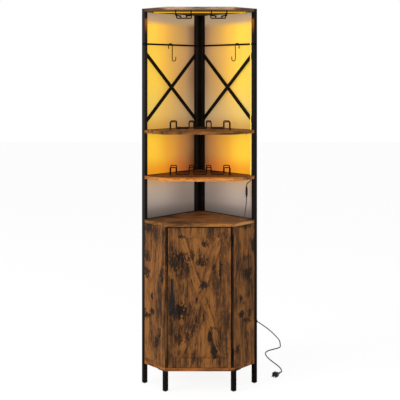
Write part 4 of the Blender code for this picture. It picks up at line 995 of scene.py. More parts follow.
SHELF_SHADES = (
    (0.0, 1.0030, 0.900, 0.0068, 0.90),
    (-0.240, 0.9900, 0.080, 0.0300, 0.40),
    (0.240, 0.9900, 0.080, 0.0300, 0.40),
)
TOP_SHADES = (
    (0.0, 1.7780, 0.600, 0.0095, 0.97),
    (-0.235, 1.7885, 0.085, 0.0125, 0.94),
    (0.240, 1.7880, 0.090, 0.0125, 0.84),
    (0.070, 1.7925, 0.110, 0.0200, 0.20),
)


def build_palette() -> Palette:
    """Returns every finish of the cabinet.

    Returns:
        The palette.
    """
    lean = radians(19)
    level = Grain.LEVEL
    boards = {
        "top_board": RusticWood(
            "top_wood", level, shift=(1.9, 0.4, 5.1), smoke=0.35, shades=TOP_SHADES,
            light=(0.70, 0.43, 0.260), mid=(0.47, 0.300, 0.180), deep=(0.24, 0.160, 0.100),
            char=(0.080, 0.040, 0.017),
        ),
        "upper_shelf": RusticWood(
            "upper_shelf_wood", level, shift=(0.2, 1.4, 2.3), smoke=1.0, light=(0.37, 0.142, 0.035),
            mid=(0.200, 0.077, 0.022), deep=(0.075, 0.036, 0.020), char=(0.022, 0.018, 0.018),
        ),
        # Painted light: the lower shelf's colours are a brighter, warmer copy of the wood that stands in for
        # the shelf strip's light. Its shades are painted shade on its top and ends, fading out towards the
        # lit front.
        "lower_shelf": RusticWood(
            "lower_shelf_wood", level, shift=(4.2, 2.4, 0.3), lift=0.010, shades=SHELF_SHADES,
            lit_front=(-0.150, -0.112), light=(0.86, 0.320, 0.070), mid=(0.60, 0.222, 0.050),
            deep=(0.230, 0.085, 0.024), char=(0.06, 0.028, 0.013),
        ),
        "inner_shelf": RusticWood("inner_shelf_wood", level, shift=(2.2, 5.4, 1.3), smoke=0.6),
        # Painted shade on the cabinet top's left slanted edge, as a knot, and a painted highlight on its
        # right slanted edge.
        "cabinet_top": RusticWood(
            "cabinet_top_wood", level, shift=(3.2, 0.9, 1.7), smoke=0.55, lift=0.012,
            knots=((-0.205, 0.780, 0.045, 0.030, 0.45),),
            blushes=((0.208, 0.7770, 0.050, 0.0100, 0.80),), light=(0.40, 0.165, 0.042),
            mid=(0.235, 0.096, 0.028), deep=(0.090, 0.040, 0.015),
        ),
        "bottom_board": RusticWood(
            "bottom_board_wood", level, shift=(6.1, 0.3, 3.7), smoke=0.95, light=(0.42, 0.140, 0.032),
            mid=(0.225, 0.078, 0.020), deep=(0.085, 0.036, 0.013),
        ),
    }
    planks = {"knots": DOOR_KNOTS_AND_SHADOWS, "sheens": DOOR_SHEENS, "smoke": 0.3}
    # Painted shade: the left strip's knot darkens its upper part, and the right strip's colours are a darker
    # copy that stands in for shade.
    left_strip = RusticWood(
        "left_strip_wood", shift=(1.4, 0.2, 0.9), knots=((-0.155, 0.720, 0.050, 0.170, 0.85),),
        light=(0.230, 0.098, 0.029), mid=(0.140, 0.060, 0.0185), deep=(0.062, 0.028, 0.0115),
    )
    right_strip = RusticWood(
        "right_strip_wood", shift=(2.4, 1.2, 0.9), light=(0.075, 0.033, 0.0135),
        mid=(0.034, 0.0165, 0.0085), deep=(0.016, 0.0095, 0.006),
    )
    left_panel = RusticWood(
        "left_panel_wood", facing=(0, 0, radians(45)), shift=(0.0, 2.2, 0.4), knots=LEFT_KNOTS, lift=0.01
    )
    right_panel = RusticWood(
        "right_panel_wood", facing=(0, 0, radians(-45)), shift=(0.4, 3.1, 0.2), knots=RIGHT_KNOTS
    )
    return Palette(
        steel=PowderCoat().build(),
        frame=PowderCoat("frame_coat", ember=0.85).build(),
        wire=PowderCoat("wire_coat", shine=0.05, shaded=0.04).build(),
        handle=PowderCoat("handle_coat", (0.0065, 0.0115, 0.0150), (0.011, 0.020, 0.026), 0.46).build(),
        plastic=Moulded("black_plastic", (0.0085, 0.0080, 0.0078)).build(),
        cord=Moulded("cord_sheath", (0.010, 0.010, 0.0105), 0.45).build(),
        lead=LeadSheath().build(),
        zinc=BrightZinc().build(),
        strip=StripGlow().build(),
        back=BackBoard().build(),
        door=RusticWood("door_wood", knots=DOOR_KNOTS_AND_SHADOWS, sheens=DOOR_SHEENS, lift=-0.003).build(),
        rising=RusticWood(
            "rising_wood", lean=(0, -lean, 0), shift=(0.31, 0.2, 0.7), lift=0.008, **planks
        ).build(),
        falling=RusticWood(
            "falling_wood", lean=(0, lean, 0), shift=(0.77, 0.4, 1.9), lift=0.005, **planks
        ).build(),
        left_panel=left_panel.build(),
        right_panel=right_panel.build(),
        left_strip=left_strip.build(),
        right_strip=right_strip.build(),
        boards={node: finish.build() for node, finish in boards.items()},
    )


# Geometry trees


class Tree:
    """A geometry node tree with named inputs."""

    def __init__(self, name: str) -> None:
        """Starts a tree with its geometry in and out.

        Args:
            name: The tree's name.
        """
        self.tree = bpy.data.node_groups.new(name, "GeometryNodeTree")
        face = self.tree.interface
        face.new_socket("Geometry", in_out="INPUT", socket_type="NodeSocketGeometry")
        face.new_socket("Geometry", in_out="OUTPUT", socket_type="NodeSocketGeometry")
        self.keys: dict[str, str] = {}
        self.start = self.put("NodeGroupInput")
        self.end = self.put("NodeGroupOutput")

    def put(self, kind: str, **settings: object) -> bpy.types.Node:
        """Adds a node of a kind and returns it.

        Args:
            kind: The node's type.
            settings: Properties of the node to set.

        Returns:
            The node.
        """
        node = self.tree.nodes.new(kind)
        for key, value in settings.items():
            setattr(node, key, value)
        return node

    def ask(self, name: str, kind: str) -> None:
        """Adds a named input."""
        socket = self.tree.interface.new_socket(name, in_out="INPUT", socket_type="NodeSocket" + kind)
        self.keys[name] = socket.identifier

    def join(self, source: Socket, target: Socket) -> None:
        """Links two sockets."""
        self.tree.links.new(source, target)

    def close(self, geometry: Socket) -> None:
        """Ends the tree in Realize Instances and Set Material.

        Args:
            geometry: The finished shape.
        """
        real = self.put("GeometryNodeRealizeInstances")
        dress = self.put("GeometryNodeSetMaterial")
        self.join(geometry, real.inputs[0])
        self.join(real.outputs[0], dress.inputs[0])
        self.join(self.start.outputs["Finish"], dress.inputs["Material"])
        self.join(dress.outputs[0], self.end.inputs[0])

    def bake(self, name: str, base: Mesh, values: dict[str, object]) -> Item:
        """Runs the tree on a mesh and returns a plain object.

        Args:
            name: The new object's name.
            base: The mesh that the tree starts from.
            values: A value for each named input.

        Returns:
            An object with the result in its mesh and no modifier.
        """
        holder = bpy.data.objects.new(name + "_guide", base)
        bpy.context.scene.collection.objects.link(holder)
        modifier = holder.modifiers.new("tree", "NODES")
        modifier.node_group = self.tree
        for key, value in values.items():
            modifier[self.keys[key]] = value
        graph = bpy.context.evaluated_depsgraph_get()
        graph.update()
        mesh = bpy.data.meshes.new_from_object(holder.evaluated_get(graph), depsgraph=graph)
        bpy.data.objects.remove(holder, do_unlink=True)
        mesh.name = name
        return link(name, mesh)


def sweep_tree() -> Tree:
    """Returns a tree that runs a round section along a line of edges, with a seeded ripple.

    Returns:
        The tree.
    """
    tree = Tree("sweep_along_line")
    for name, kind in (("Radius", "Float"), ("Sides", "Int"), ("Ripple", "Float"), ("Finish", "Material")):
        tree.ask(name, kind)
    line = tree.put("GeometryNodeMeshToCurve")
    ring = tree.put("GeometryNodeCurvePrimitiveCircle", mode="RADIUS")
    size = tree.put("GeometryNodeSetCurveRadius")
    ripple = tree.put("ShaderNodeTexNoise", noise_dimensions="4D")
    ripple.inputs["W"].default_value = RIPPLE_SEED
    ripple.inputs["Scale"].default_value = RIPPLE_SCALE
    off = tree.put("ShaderNodeMath", operation="MULTIPLY_ADD")
    off.inputs[2].default_value = 1.0
    centred = tree.put("ShaderNodeMath", operation="SUBTRACT")
    centred.inputs[1].default_value = 0.5
    skin = tree.put("GeometryNodeCurveToMesh")
    skin.inputs["Fill Caps"].default_value = True
    smooth = tree.put("GeometryNodeSetShadeSmooth")
    tree.join(tree.start.outputs["Geometry"], line.inputs[0])
    tree.join(tree.start.outputs["Radius"], ring.inputs["Radius"])
    tree.join(tree.start.outputs["Sides"], ring.inputs["Resolution"])
    tree.join(ripple.outputs[0], centred.inputs[0])
    tree.join(centred.outputs[0], off.inputs[0])
    tree.join(tree.start.outputs["Ripple"], off.inputs[1])
    tree.join(line.outputs[0], size.inputs["Curve"])
    tree.join(off.outputs[0], size.inputs["Radius"])
    tree.join(size.outputs[0], skin.inputs["Curve"])
    tree.join(ring.outputs[0], skin.inputs["Profile Curve"])
    tree.join(skin.outputs[0], smooth.inputs[0])
    tree.close(smooth.outputs[0])
    return tree


def repeat_tree() -> Tree:
    """Returns a tree that sets a copy of a pattern object on every point, each with its turn.

    Returns:
        The tree.
    """
    tree = Tree("repeat_on_points")
    for name, kind in (("Pattern", "Object"), ("Size", "Float"), ("Finish", "Material")):
        tree.ask(name, kind)
    points = tree.put("GeometryNodeMeshToPoints")
    pattern = tree.put("GeometryNodeObjectInfo")
    turn = tree.put("GeometryNodeInputNamedAttribute", data_type="FLOAT_VECTOR")
    turn.inputs["Name"].default_value = "turn"
    euler = tree.put("FunctionNodeEulerToRotation")
    copies = tree.put("GeometryNodeInstanceOnPoints")
    tree.join(tree.start.outputs["Geometry"], points.inputs[0])
    tree.join(tree.start.outputs["Pattern"], pattern.inputs[0])
    tree.join(turn.outputs[0], euler.inputs[0])
    tree.join(points.outputs[0], copies.inputs["Points"])
    tree.join(pattern.outputs["Geometry"], copies.inputs["Instance"])
    tree.join(euler.outputs[0], copies.inputs["Rotation"])
    tree.join(tree.start.outputs["Size"], copies.inputs["Scale"])
    tree.close(copies.outputs[0])
    return tree


# Mesh helpers


def link(name: str, mesh: Mesh) -> Item:
    """Returns a new object with a mesh, in the scene.

    Args:
        name: The object's name.
        mesh: Its mesh.

    Returns:
        The object.
    """
    item = bpy.data.objects.new(name, mesh)
    bpy.context.scene.collection.objects.link(item)
    return item


def mesh_from(name: str, shape: Shape, angle: float = 35) -> Mesh:
    """Returns a mesh with merged points, faces outward and smooth round faces.

    Args:
        name: The mesh's name.
        shape: The shape, which is used up.
        angle: Sharpest smooth edge in degrees.

    Returns:
        The mesh.
    """
    bmesh.ops.remove_doubles(shape, verts=shape.verts, dist=MERGE)
    bmesh.ops.recalc_face_normals(shape, faces=shape.faces)
    mesh = bpy.data.meshes.new(name)
    shape.to_mesh(mesh)
    shape.free()
    mesh.shade_smooth()
    mesh.set_sharp_from_angle(angle=radians(angle))
    return mesh


def merged(shapes: list[Shape]) -> Shape:
    """Returns one shape that holds them all.

    Args:
        shapes: The shapes, which are used up.

    Returns:
        The one shape.
    """
    whole = bmesh.new()
    for shape in shapes:
        scrap = bpy.data.meshes.new("scrap")
        shape.to_mesh(scrap)
        shape.free()
        whole.from_mesh(scrap)
        bpy.data.meshes.remove(scrap)
    return whole


def moved(shape: Shape, matrix: Matrix) -> Shape:
    """Moves a shape and returns it."""
    bmesh.ops.transform(shape, matrix=matrix, verts=shape.verts)
    return shape


def loft(sections: list[list[Point]]) -> Shape:
    """Returns a closed body through sections of equally many points.

    Args:
        sections: Rings of points, in order.

    Returns:
        The body.
    """
    shape = bmesh.new()
    rings = [[shape.verts.new(point) for point in section] for section in sections]
    for ring, following in zip(rings, rings[1:]):
        for index in range(len(ring)):
            shape.faces.new((ring[index - 1], ring[index], following[index], following[index - 1]))
    shape.faces.new(rings[0])
    shape.faces.new(rings[-1])
    return shape


def turned(profile: list[Span] | tuple[Span, ...], steps: int = 24) -> Shape:
    """Returns a body turned about Z from (radius, height) points, axis to axis.

    Args:
        profile: Radii and heights.
        steps: Steps in a round.

    Returns:
        The body.
    """
    shape = bmesh.new()
    verts = [shape.verts.new((radius, 0, height)) for radius, height in profile]
    edges = [shape.edges.new(pair) for pair in zip(verts, verts[1:])]
    spun(shape, verts + edges, steps)
    bmesh.ops.remove_doubles(shape, verts=shape.verts, dist=MERGE)
    return shape


def spun(shape: Shape, parts: list[object], steps: int) -> None:
    """Spins parts of a shape once round Z."""
    turn = {"cent": (0, 0, 0), "axis": (0, 0, 1), "angle": 2 * pi}
    bmesh.ops.spin(shape, geom=parts, steps=steps, use_merge=True, **turn)


def slab(low: Point | Vector, high: Point | Vector) -> Shape:
    """Returns a box between two corners.

    Args:
        low: Its low corner.
        high: Its high corner.

    Returns:
        The box.
    """
    shape = bmesh.new()
    bmesh.ops.create_cube(shape, size=1)
    middle = (Vector(low) + Vector(high)) / 2
    span = Vector(high) - Vector(low)
    return moved(shape, Matrix.Translation(middle) @ Matrix.Diagonal((*span, 1)))


def eased(shape: Shape, width: float, segments: int = 2) -> Shape:
    """Rounds every edge of a shape over 30 degrees and returns it.

    Args:
        shape: A shape.
        width: Width of the rounding.
        segments: Faces in a rounding.

    Returns:
        The same shape.
    """
    bmesh.ops.recalc_face_normals(shape, faces=shape.faces)
    edges = [edge for edge in shape.edges if edge.is_manifold and edge.calc_face_angle(0) > SHARP_ANGLE]
    bmesh.ops.bevel(
        shape,
        geom=edges,
        offset=width,
        segments=segments,
        profile=0.7,
        affect="EDGES",
        clamp_overlap=True,
    )
    return shape


def super_ring(half_x: float, half_y: float, height: float, power: float = 3.2) -> list[Point]:
    """Returns a rounded rectangle's points at a height.

    Args:
        half_x: Half its width.
        half_y: Half its depth.
        height: Height of the ring.
        power: How square it is; 2 is an ellipse.

    Returns:
        The points.
    """
    ring = []
    steps = 28
    for step in range(steps):
        angle = 2 * pi * step / steps
        x, y = (copysign(abs(part) ** (2 / power), part) for part in (cos(angle), sin(angle)))
        ring.append((half_x * x, half_y * y, height))
    return ring


def line_mesh(name: str, points: list[Vector], closed: bool = False) -> Mesh:
    """Returns a mesh of edges through points.

    Args:
        name: The mesh's name.
        points: Points in order.
        closed: Whether the last joins the first.

    Returns:
        The mesh.
    """
    mesh = bpy.data.meshes.new(name)
    edges = [(index, index + 1) for index in range(len(points) - 1)]
    if closed:
        edges.append((len(points) - 1, 0))
    mesh.from_pydata([tuple(point) for point in points], edges, [])
    return mesh


def point_mesh(name: str, places: list[Matrix]) -> Mesh:
    """Returns a mesh of lone points, each with its own turn.

    Args:
        name: The mesh's name.
        places: Where each point stands, and its turn.

    Returns:
        The mesh.
    """
    mesh = bpy.data.meshes.new(name)
    mesh.from_pydata([tuple(place.translation) for place in places], [], [])
    turns = mesh.attributes.new("turn", "FLOAT_VECTOR", "POINT")
    for item, place in zip(turns.data, places):
        item.vector = place.to_euler()
    return mesh


def rounded_route(corners: list[Point], radius: float, closed: bool = False, steps: int = 7) -> list[Vector]:
    """Returns a route with its corners rounded by arcs of one radius.

    Args:
        corners: The corners in order.
        radius: Radius of each bend.
        closed: Whether it is a loop.
        steps: Steps in a bend.

    Returns:
        The points.
    """
    corners = [Vector(corner) for corner in corners]
    count = len(corners)
    route = []
    for index, corner in enumerate(corners):
        if not closed and index in (0, count - 1):
            route.append(corner)
            continue
        before = (corners[index - 1] - corner).normalized()
        after = (corners[(index + 1) % count] - corner).normalized()
        half = before.angle(after) / 2
        reach = radius / tan(half)
        centre = corner + (before + after).normalized() * radius / sin(half)
        start = corner + before * reach - centre
        end = corner + after * reach - centre
        sweep = start.angle(end)
        for step in range(steps + 1):
            share = step / steps
            route.append(centre + (start * sin((1 - share) * sweep) + end * sin(share * sweep)) / sin(sweep))
    return route


def smooth_route(points: list[Point], spacing: float, floor: float) -> list[Vector]:
    """Returns points on a smooth curve that stays over a floor height, its ends straight.

    Args:
        points: Points that it passes through.
        spacing: Distance between its points.
        floor: The least height.

    Returns:
        The points.
    """
    points = [Vector(point) for point in points]
    spans = [(end - start).length for start, end in zip(points, points[1:])]
    slopes = [(end - start) / span for start, end, span in zip(points, points[1:], spans)]
    tangents = [slopes[0]]
    for k in range(1, len(spans) - 2):
        mixed = slopes[k] * spans[k + 1] + slopes[k + 1] * spans[k]
        tangents.append(mixed / (spans[k] + spans[k + 1]))
    tangents.append(slopes[-1])
    fine = []
    parts = 40
    for k, (near, far) in enumerate(zip(points[1:-2], points[2:-1])):
        span = spans[k + 1]
        for part in range(parts):
            t = part / parts
            fine.append(
                near * (1 + 2 * t) * (1 - t) ** 2
                + far * t * t * (3 - 2 * t)
                + tangents[k] * span * t * (1 - t) ** 2
                - tangents[k + 1] * span * t * t * (1 - t)
            )
    fine.append(points[-2])
    for point in fine:
        point.z = max(point.z, floor)
    length = sum((far - near).length for near, far in zip(fine, fine[1:]))
    count = round(length / spacing)
    even = [points[0], fine[0]]
    walked = 0.0
    for near, far in zip(fine, fine[1:]):
        stretch = (far - near).length
        while len(even) <= count and walked + stretch >= (len(even) - 1) * length / count:
            share = ((len(even) - 1) * length / count - walked) / stretch
            even.append(near.lerp(far, share))
        walked += stretch
    return even + [fine[-1], points[-1]]


# The workshop


@dataclass
class Shop:
    """What every sub-assembly needs: the frame, the finishes and the two trees."""

    frame: dict
    looks: Palette
    sweeps: Tree
    repeats: Tree
    made: int = 0

    def own(
        self,
        item: Item,
        body: str,
        slot: str,
        finish: Material | None = None,
        nodes: tuple[str, ...] = (),
    ) -> Item:
        """Dresses a piece, rides it on a body and hides the CAD nodes that it stands in for.

        Args:
            item: The piece.
            body: The body that carries it.
            slot: The record's material slot; not used.
            finish: Its material, where the mesh has none yet.
            nodes: The CAD nodes that it replaces.

        Returns:
            The piece.
        """
        if finish is not None:
            item.data.materials.clear()
            item.data.materials.append(finish)
        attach(item, body)
        if nodes:
            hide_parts(*nodes)
        self.made += 1
        log.info("%s: %d faces, on %s", item.name, len(item.data.polygons), body)
        return item

    def wire(
        self,
        name: str,
        route: list[Vector],
        radius: float,
        finish: Material,
        closed: bool = False,
        sides: int = 14,
    ) -> Item:
        """Returns a round wire along a route."""
        values = {"Radius": radius, "Sides": sides, "Ripple": 0.0, "Finish": finish}
        return self.sweeps.bake(name, line_mesh(name + "_line", route, closed), values)

    def copies(self, name: str, pattern: Mesh, places: list[Matrix], finish: Material) -> Item:
        """Returns one object with a copy of a pattern at each place.

        Args:
            name: The object's name.
            pattern: The mesh to repeat.
            places: Where each copy stands.
            finish: Its finish.

        Returns:
            The object.
        """
        holder = link(name + "_pattern", pattern)
        values = {"Pattern": holder, "Size": 1.0, "Finish": finish}
        result = self.repeats.bake(name, point_mesh(name + "_points", places), values)
        bpy.data.objects.remove(holder, do_unlink=True)
        return result

    def refined(self, node: str, angle: float = 30, ease: float = 0.0) -> Item:
        """Returns a smooth-shaded copy of a CAD node with its points merged.

        Args:
            node: The CAD node.
            angle: Sharpest smooth edge in degrees.
            ease: Rounding of its edges, if any.

        Returns:
            The copy.
        """
        shape = bmesh.new()
        shape.from_mesh(self.frame["nodes"][node].data)
        bmesh.ops.remove_doubles(shape, verts=shape.verts, dist=MERGE)
        bmesh.ops.dissolve_limit(shape, angle_limit=radians(0.6), verts=shape.verts, edges=shape.edges)
        mesh = bpy.data.meshes.new(node + "_fine")
        shape.to_mesh(mesh)
        shape.free()
        mesh.shade_smooth()
        mesh.set_sharp_from_angle(angle=radians(angle))
        item = link(node + "_fine", mesh)
        if ease:
            bevel = item.modifiers.new("ease", "BEVEL")
            bevel.width = ease
            bevel.segments = 2
            bevel.limit_method = "ANGLE"
            bevel.angle_limit = SHARP_ANGLE
            bevel.harden_normals = True
        return item

    def fine(self, node: str, body: str, slot: str, finish: Material, ease: float = 0.0) -> None:
        """Stands a smooth-shaded copy in for a CAD node."""
        self.own(self.refined(node, ease=ease), body, slot, finish, (node,))

    def paint(self, node: str, finish: Material) -> None:
        """Gives a CAD node that stays its finish.

        Args:
            node: The CAD node.
            finish: Its finish.
        """
        item = self.frame["nodes"][node]
        item.data.materials.clear()
        item.data.materials.append(finish)


def join_objects(name: str, items: list[Item], finish: Material) -> Item:
    """Returns one object that holds the meshes of several, which go.

    Args:
        name: The new object's name.
        items: The objects.
        finish: Its finish.

    Returns:
        The object.
    """
    shape = bmesh.new()
    for item in items:
        shape.from_mesh(item.data)
        bpy.data.objects.remove(item, do_unlink=True)
    mesh = bpy.data.meshes.new(name)
    shape.to_mesh(mesh)
    shape.free()
    mesh.materials.append(finish)
    for polygon in mesh.polygons:
        polygon.material_index = 0
    return link(name, mesh)


def lines_mesh(name: str, lines: list[list[Vector]]) -> Mesh:
    """Returns a mesh of several separate lines of edges.

    Args:
        name: The mesh's name.
        lines: The points of each line.

    Returns:
        The mesh.
    """
    points: list[Point] = []
    edges: list[tuple[int, int]] = []
    for line in lines:
        start = len(points)
        points += [tuple(point) for point in line]
        edges += [(start + index, start + index + 1) for index in range(len(line) - 1)]
    mesh = bpy.data.meshes.new(name)
    mesh.from_pydata(points, edges, [])
    return mesh


def cut(item: Item, tool: Shape) -> None:
    """Takes a shape out of a piece for good.

    Args:
        item: The piece.
        tool: The shape to take out, which is used up.
    """
    mesh = bpy.data.meshes.new("tool")
    bmesh.ops.recalc_face_normals(tool, faces=tool.faces)
    tool.to_mesh(mesh)
    tool.free()
    knife = link("tool", mesh)
    modifier = item.modifiers.new("cut", "BOOLEAN")
    modifier.operation = "DIFFERENCE"
    modifier.solver = "EXACT"
    modifier.object = knife
    graph = bpy.context.evaluated_depsgraph_get()
    graph.update()
    result = bpy.data.meshes.new_from_object(item.evaluated_get(graph), depsgraph=graph)
    item.modifiers.clear()
    item.data = result
    bpy.data.objects.remove(knife, do_unlink=True)


def top_of(node: str) -> float:
    """Returns the height of a node's top."""
    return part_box(node)[1][2]


def corners_of(node: str) -> tuple[Vector, Vector]:
    """Returns the low and the high corner of a node's box."""
    return tuple(Vector(corner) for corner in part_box(node))


def facing(direction: Vector) -> Matrix:
    """Returns the turn that points Z in a direction."""
    return direction.to_track_quat("Z", "Y").to_matrix().to_4x4()


# Sub-assemblies


@dataclass
class SideFrames:
    """The two welded side frames with their braces, legs, feet and backs."""

    shop: Shop
    post_start: float = 0.373
    rear_post_end: float = 0.0403
    rail_height: float = 0.016
    bead: float = 0.0011
    bead_ripple: float = 0.9
    bead_sink_share: float = 0.35
    ring_sink_share: float = 0.3
    ring_grow_share: float = 0.25
    bead_ends: Span = (0.0022, 0.0178)
    brace_share: float = 1.22
    strip_start: Span = (0.0163, 0.0100)
    strip_end: Span = (0.0200, 0.0196)
    strip_rise: float = 0.004
    strip_round: float = 0.0006
    strip_sink: float = 0.0002
    strip_dome: tuple[Span, ...] = ((0, 0), (0.0016, 0), (0.0013, 0.00035), (0.0007, 0.0006), (0, 0.00065))
    strip_rivets: tuple[float, ...] = (0.060, 0.330, 0.600, 0.880, 1.110, 1.350, 1.560, 1.740)
    rivet_half: float = 0.00495
    rivet_head: Span = (0.0045, 0.0015)
    rivet_shank: float = 0.0025

    def build(self) -> None:
        """Makes and dresses both frames."""
        looks = self.shop.looks
        for side in Side:
            word = side.label
            self.shop.fine(word + "_side_frame", "cabinet", "black_steel", looks.frame)
            self.shop.fine(word + "_front_leg", "cabinet", "black_steel", looks.steel)
            for ending in ("_falling_brace", "_rising_brace"):
                brace = self.shop.refined(word + ending, ease=0.0005)
                self.broaden(brace, side)
                self.shop.own(brace, "cabinet", "black_steel", looks.wire, (word + ending,))
            self.rivet(side)
            self.beads(side)
            for ending in ("_side_foot", "_rear_foot", "_front_foot"):
                self.shop.fine(word + ending, "cabinet", "black_plastic", looks.plastic, 0.0004)
            self.shop.paint(word + "_back_panel", looks.back)
        self.shop.paint("left_edge_strip", looks.left_strip)
        self.shop.paint("right_edge_strip", looks.right_strip)
        self.shop.paint("left_side_panel", looks.left_panel)
        self.shop.paint("right_side_panel", looks.right_panel)
        self.closing_strip()

    def closing_strip(self) -> None:
        """Makes the steel strip that closes the slit between the two rear posts, with its rivets."""
        side = Side.LEFT
        start, end = self.strip_start, self.strip_end
        plan = [start, (end[0], start[1]), end, (start[0], end[1])]
        grid = []
        for height in (self.strip_rise, TOTAL_HEIGHT - self.strip_rise):
            grid.append([tuple(side.spot(u, v, height)) for u, v in plan])
        shapes = [eased(loft(grid), self.strip_round)]
        for height in self.strip_rivets:
            place = Matrix.Translation(side.spot((start[0] + end[0]) / 2, end[1] - self.strip_sink, height))
            shapes.append(moved(turned(self.strip_dome, 16), place @ facing(side.outward())))
        strip = link("corner_closing_strip", mesh_from("corner_closing_strip", merged(shapes)))
        self.shop.own(strip, "cabinet", "black_steel", self.shop.looks.steel)

    def broaden(self, brace: Item, side: Side) -> None:
        """Widens a brace in its wall plane, as the photo shows it a little wider.

        Args:
            brace: The brace.
            side: Its side.
        """
        verts = brace.data.vertices
        along, origin = side.along(), side.spot(0, 0)
        reach = {vert.index: (vert.co - origin).dot(along) for vert in verts}
        start, end = min(reach.values()), max(reach.values())
        ends = []
        for edge in (start, end):
            heights = [vert.co.z for vert in verts if abs(reach[vert.index] - edge) < MERGE * 10]
            ends.append((min(heights) + max(heights)) / 2)
        for vert in verts:
            share = (reach[vert.index] - start) / (end - start)
            middle = ends[0] + (ends[1] - ends[0]) * share
            vert.co.z = middle + (vert.co.z - middle) * self.brace_share

    def rivet(self, side: Side) -> None:
        """Makes the domed rivet where a side's two braces cross.

        Args:
            side: The side.
        """
        node = side.label + "_brace_rivet"
        low, high = corners_of(node)
        half = self.rivet_half
        head_radius, head = self.rivet_head
        dome = [(0, -half)]
        for step in range(1, 6):
            angle = radians(18 * step)
            dome.append((head_radius * sin(angle), -half + head * (1 - cos(angle))))
        shank = [(self.rivet_shank, -half + head), (self.rivet_shank, half - head)]
        rise = [(radius, -height) for radius, height in reversed(dome)]
        place = Matrix.Translation((low + high) / 2) @ facing(side.outward())
        mesh = mesh_from(node + "_domed", moved(turned(dome + shank + rise), place))
        self.shop.own(link(node + "_domed", mesh), "cabinet", "black_steel", self.shop.looks.steel, (node,))

    def beads(self, side: Side) -> None:
        """Makes the weld beads where rails meet posts.

        Args:
            side: The side.
        """
        lines = []
        near, far = self.bead_ends
        sink = self.bead * self.bead_sink_share
        for node in RAIL_NODES:
            top = top_of(node)
            for u in (self.rear_post_end + sink, self.post_start - sink):
                heights = [top - self.rail_height - sink]
                if node != "top_board":
                    heights.append(top + sink)
                outs = [near + (far - near) * step / 14 for step in range(15)]
                lines += [[side.spot(u, out, height) for out in outs] for height in heights]
        sink = self.bead * self.ring_sink_share
        reach = HOOK_RAIL_RADIUS + self.bead * self.ring_grow_share
        for u in (self.rear_post_end + sink, self.post_start - sink):
            ring = []
            for step in range(25):
                angle = 2 * pi * step / 24
                height = HOOK_RAIL_HEIGHT + reach * sin(angle)
                ring.append(side.spot(u, HOOK_RAIL_OUT + reach * cos(angle), height))
            lines.append(ring)
        steel = self.shop.looks.steel
        values = {"Radius": self.bead, "Sides": 8, "Ripple": self.bead_ripple, "Finish": steel}
        name = side.label + "_weld_beads"
        beads = self.shop.sweeps.bake(name, lines_mesh(name + "_line", lines), values)
        self.shop.own(beads, "cabinet", "black_steel")


@dataclass
class Boards:
    """The wood boards, each with its grain along the front."""

    shop: Shop

    def build(self) -> None:
        """Dresses the boards."""
        for node, finish in self.shop.looks.boards.items():
            self.shop.paint(node, finish)


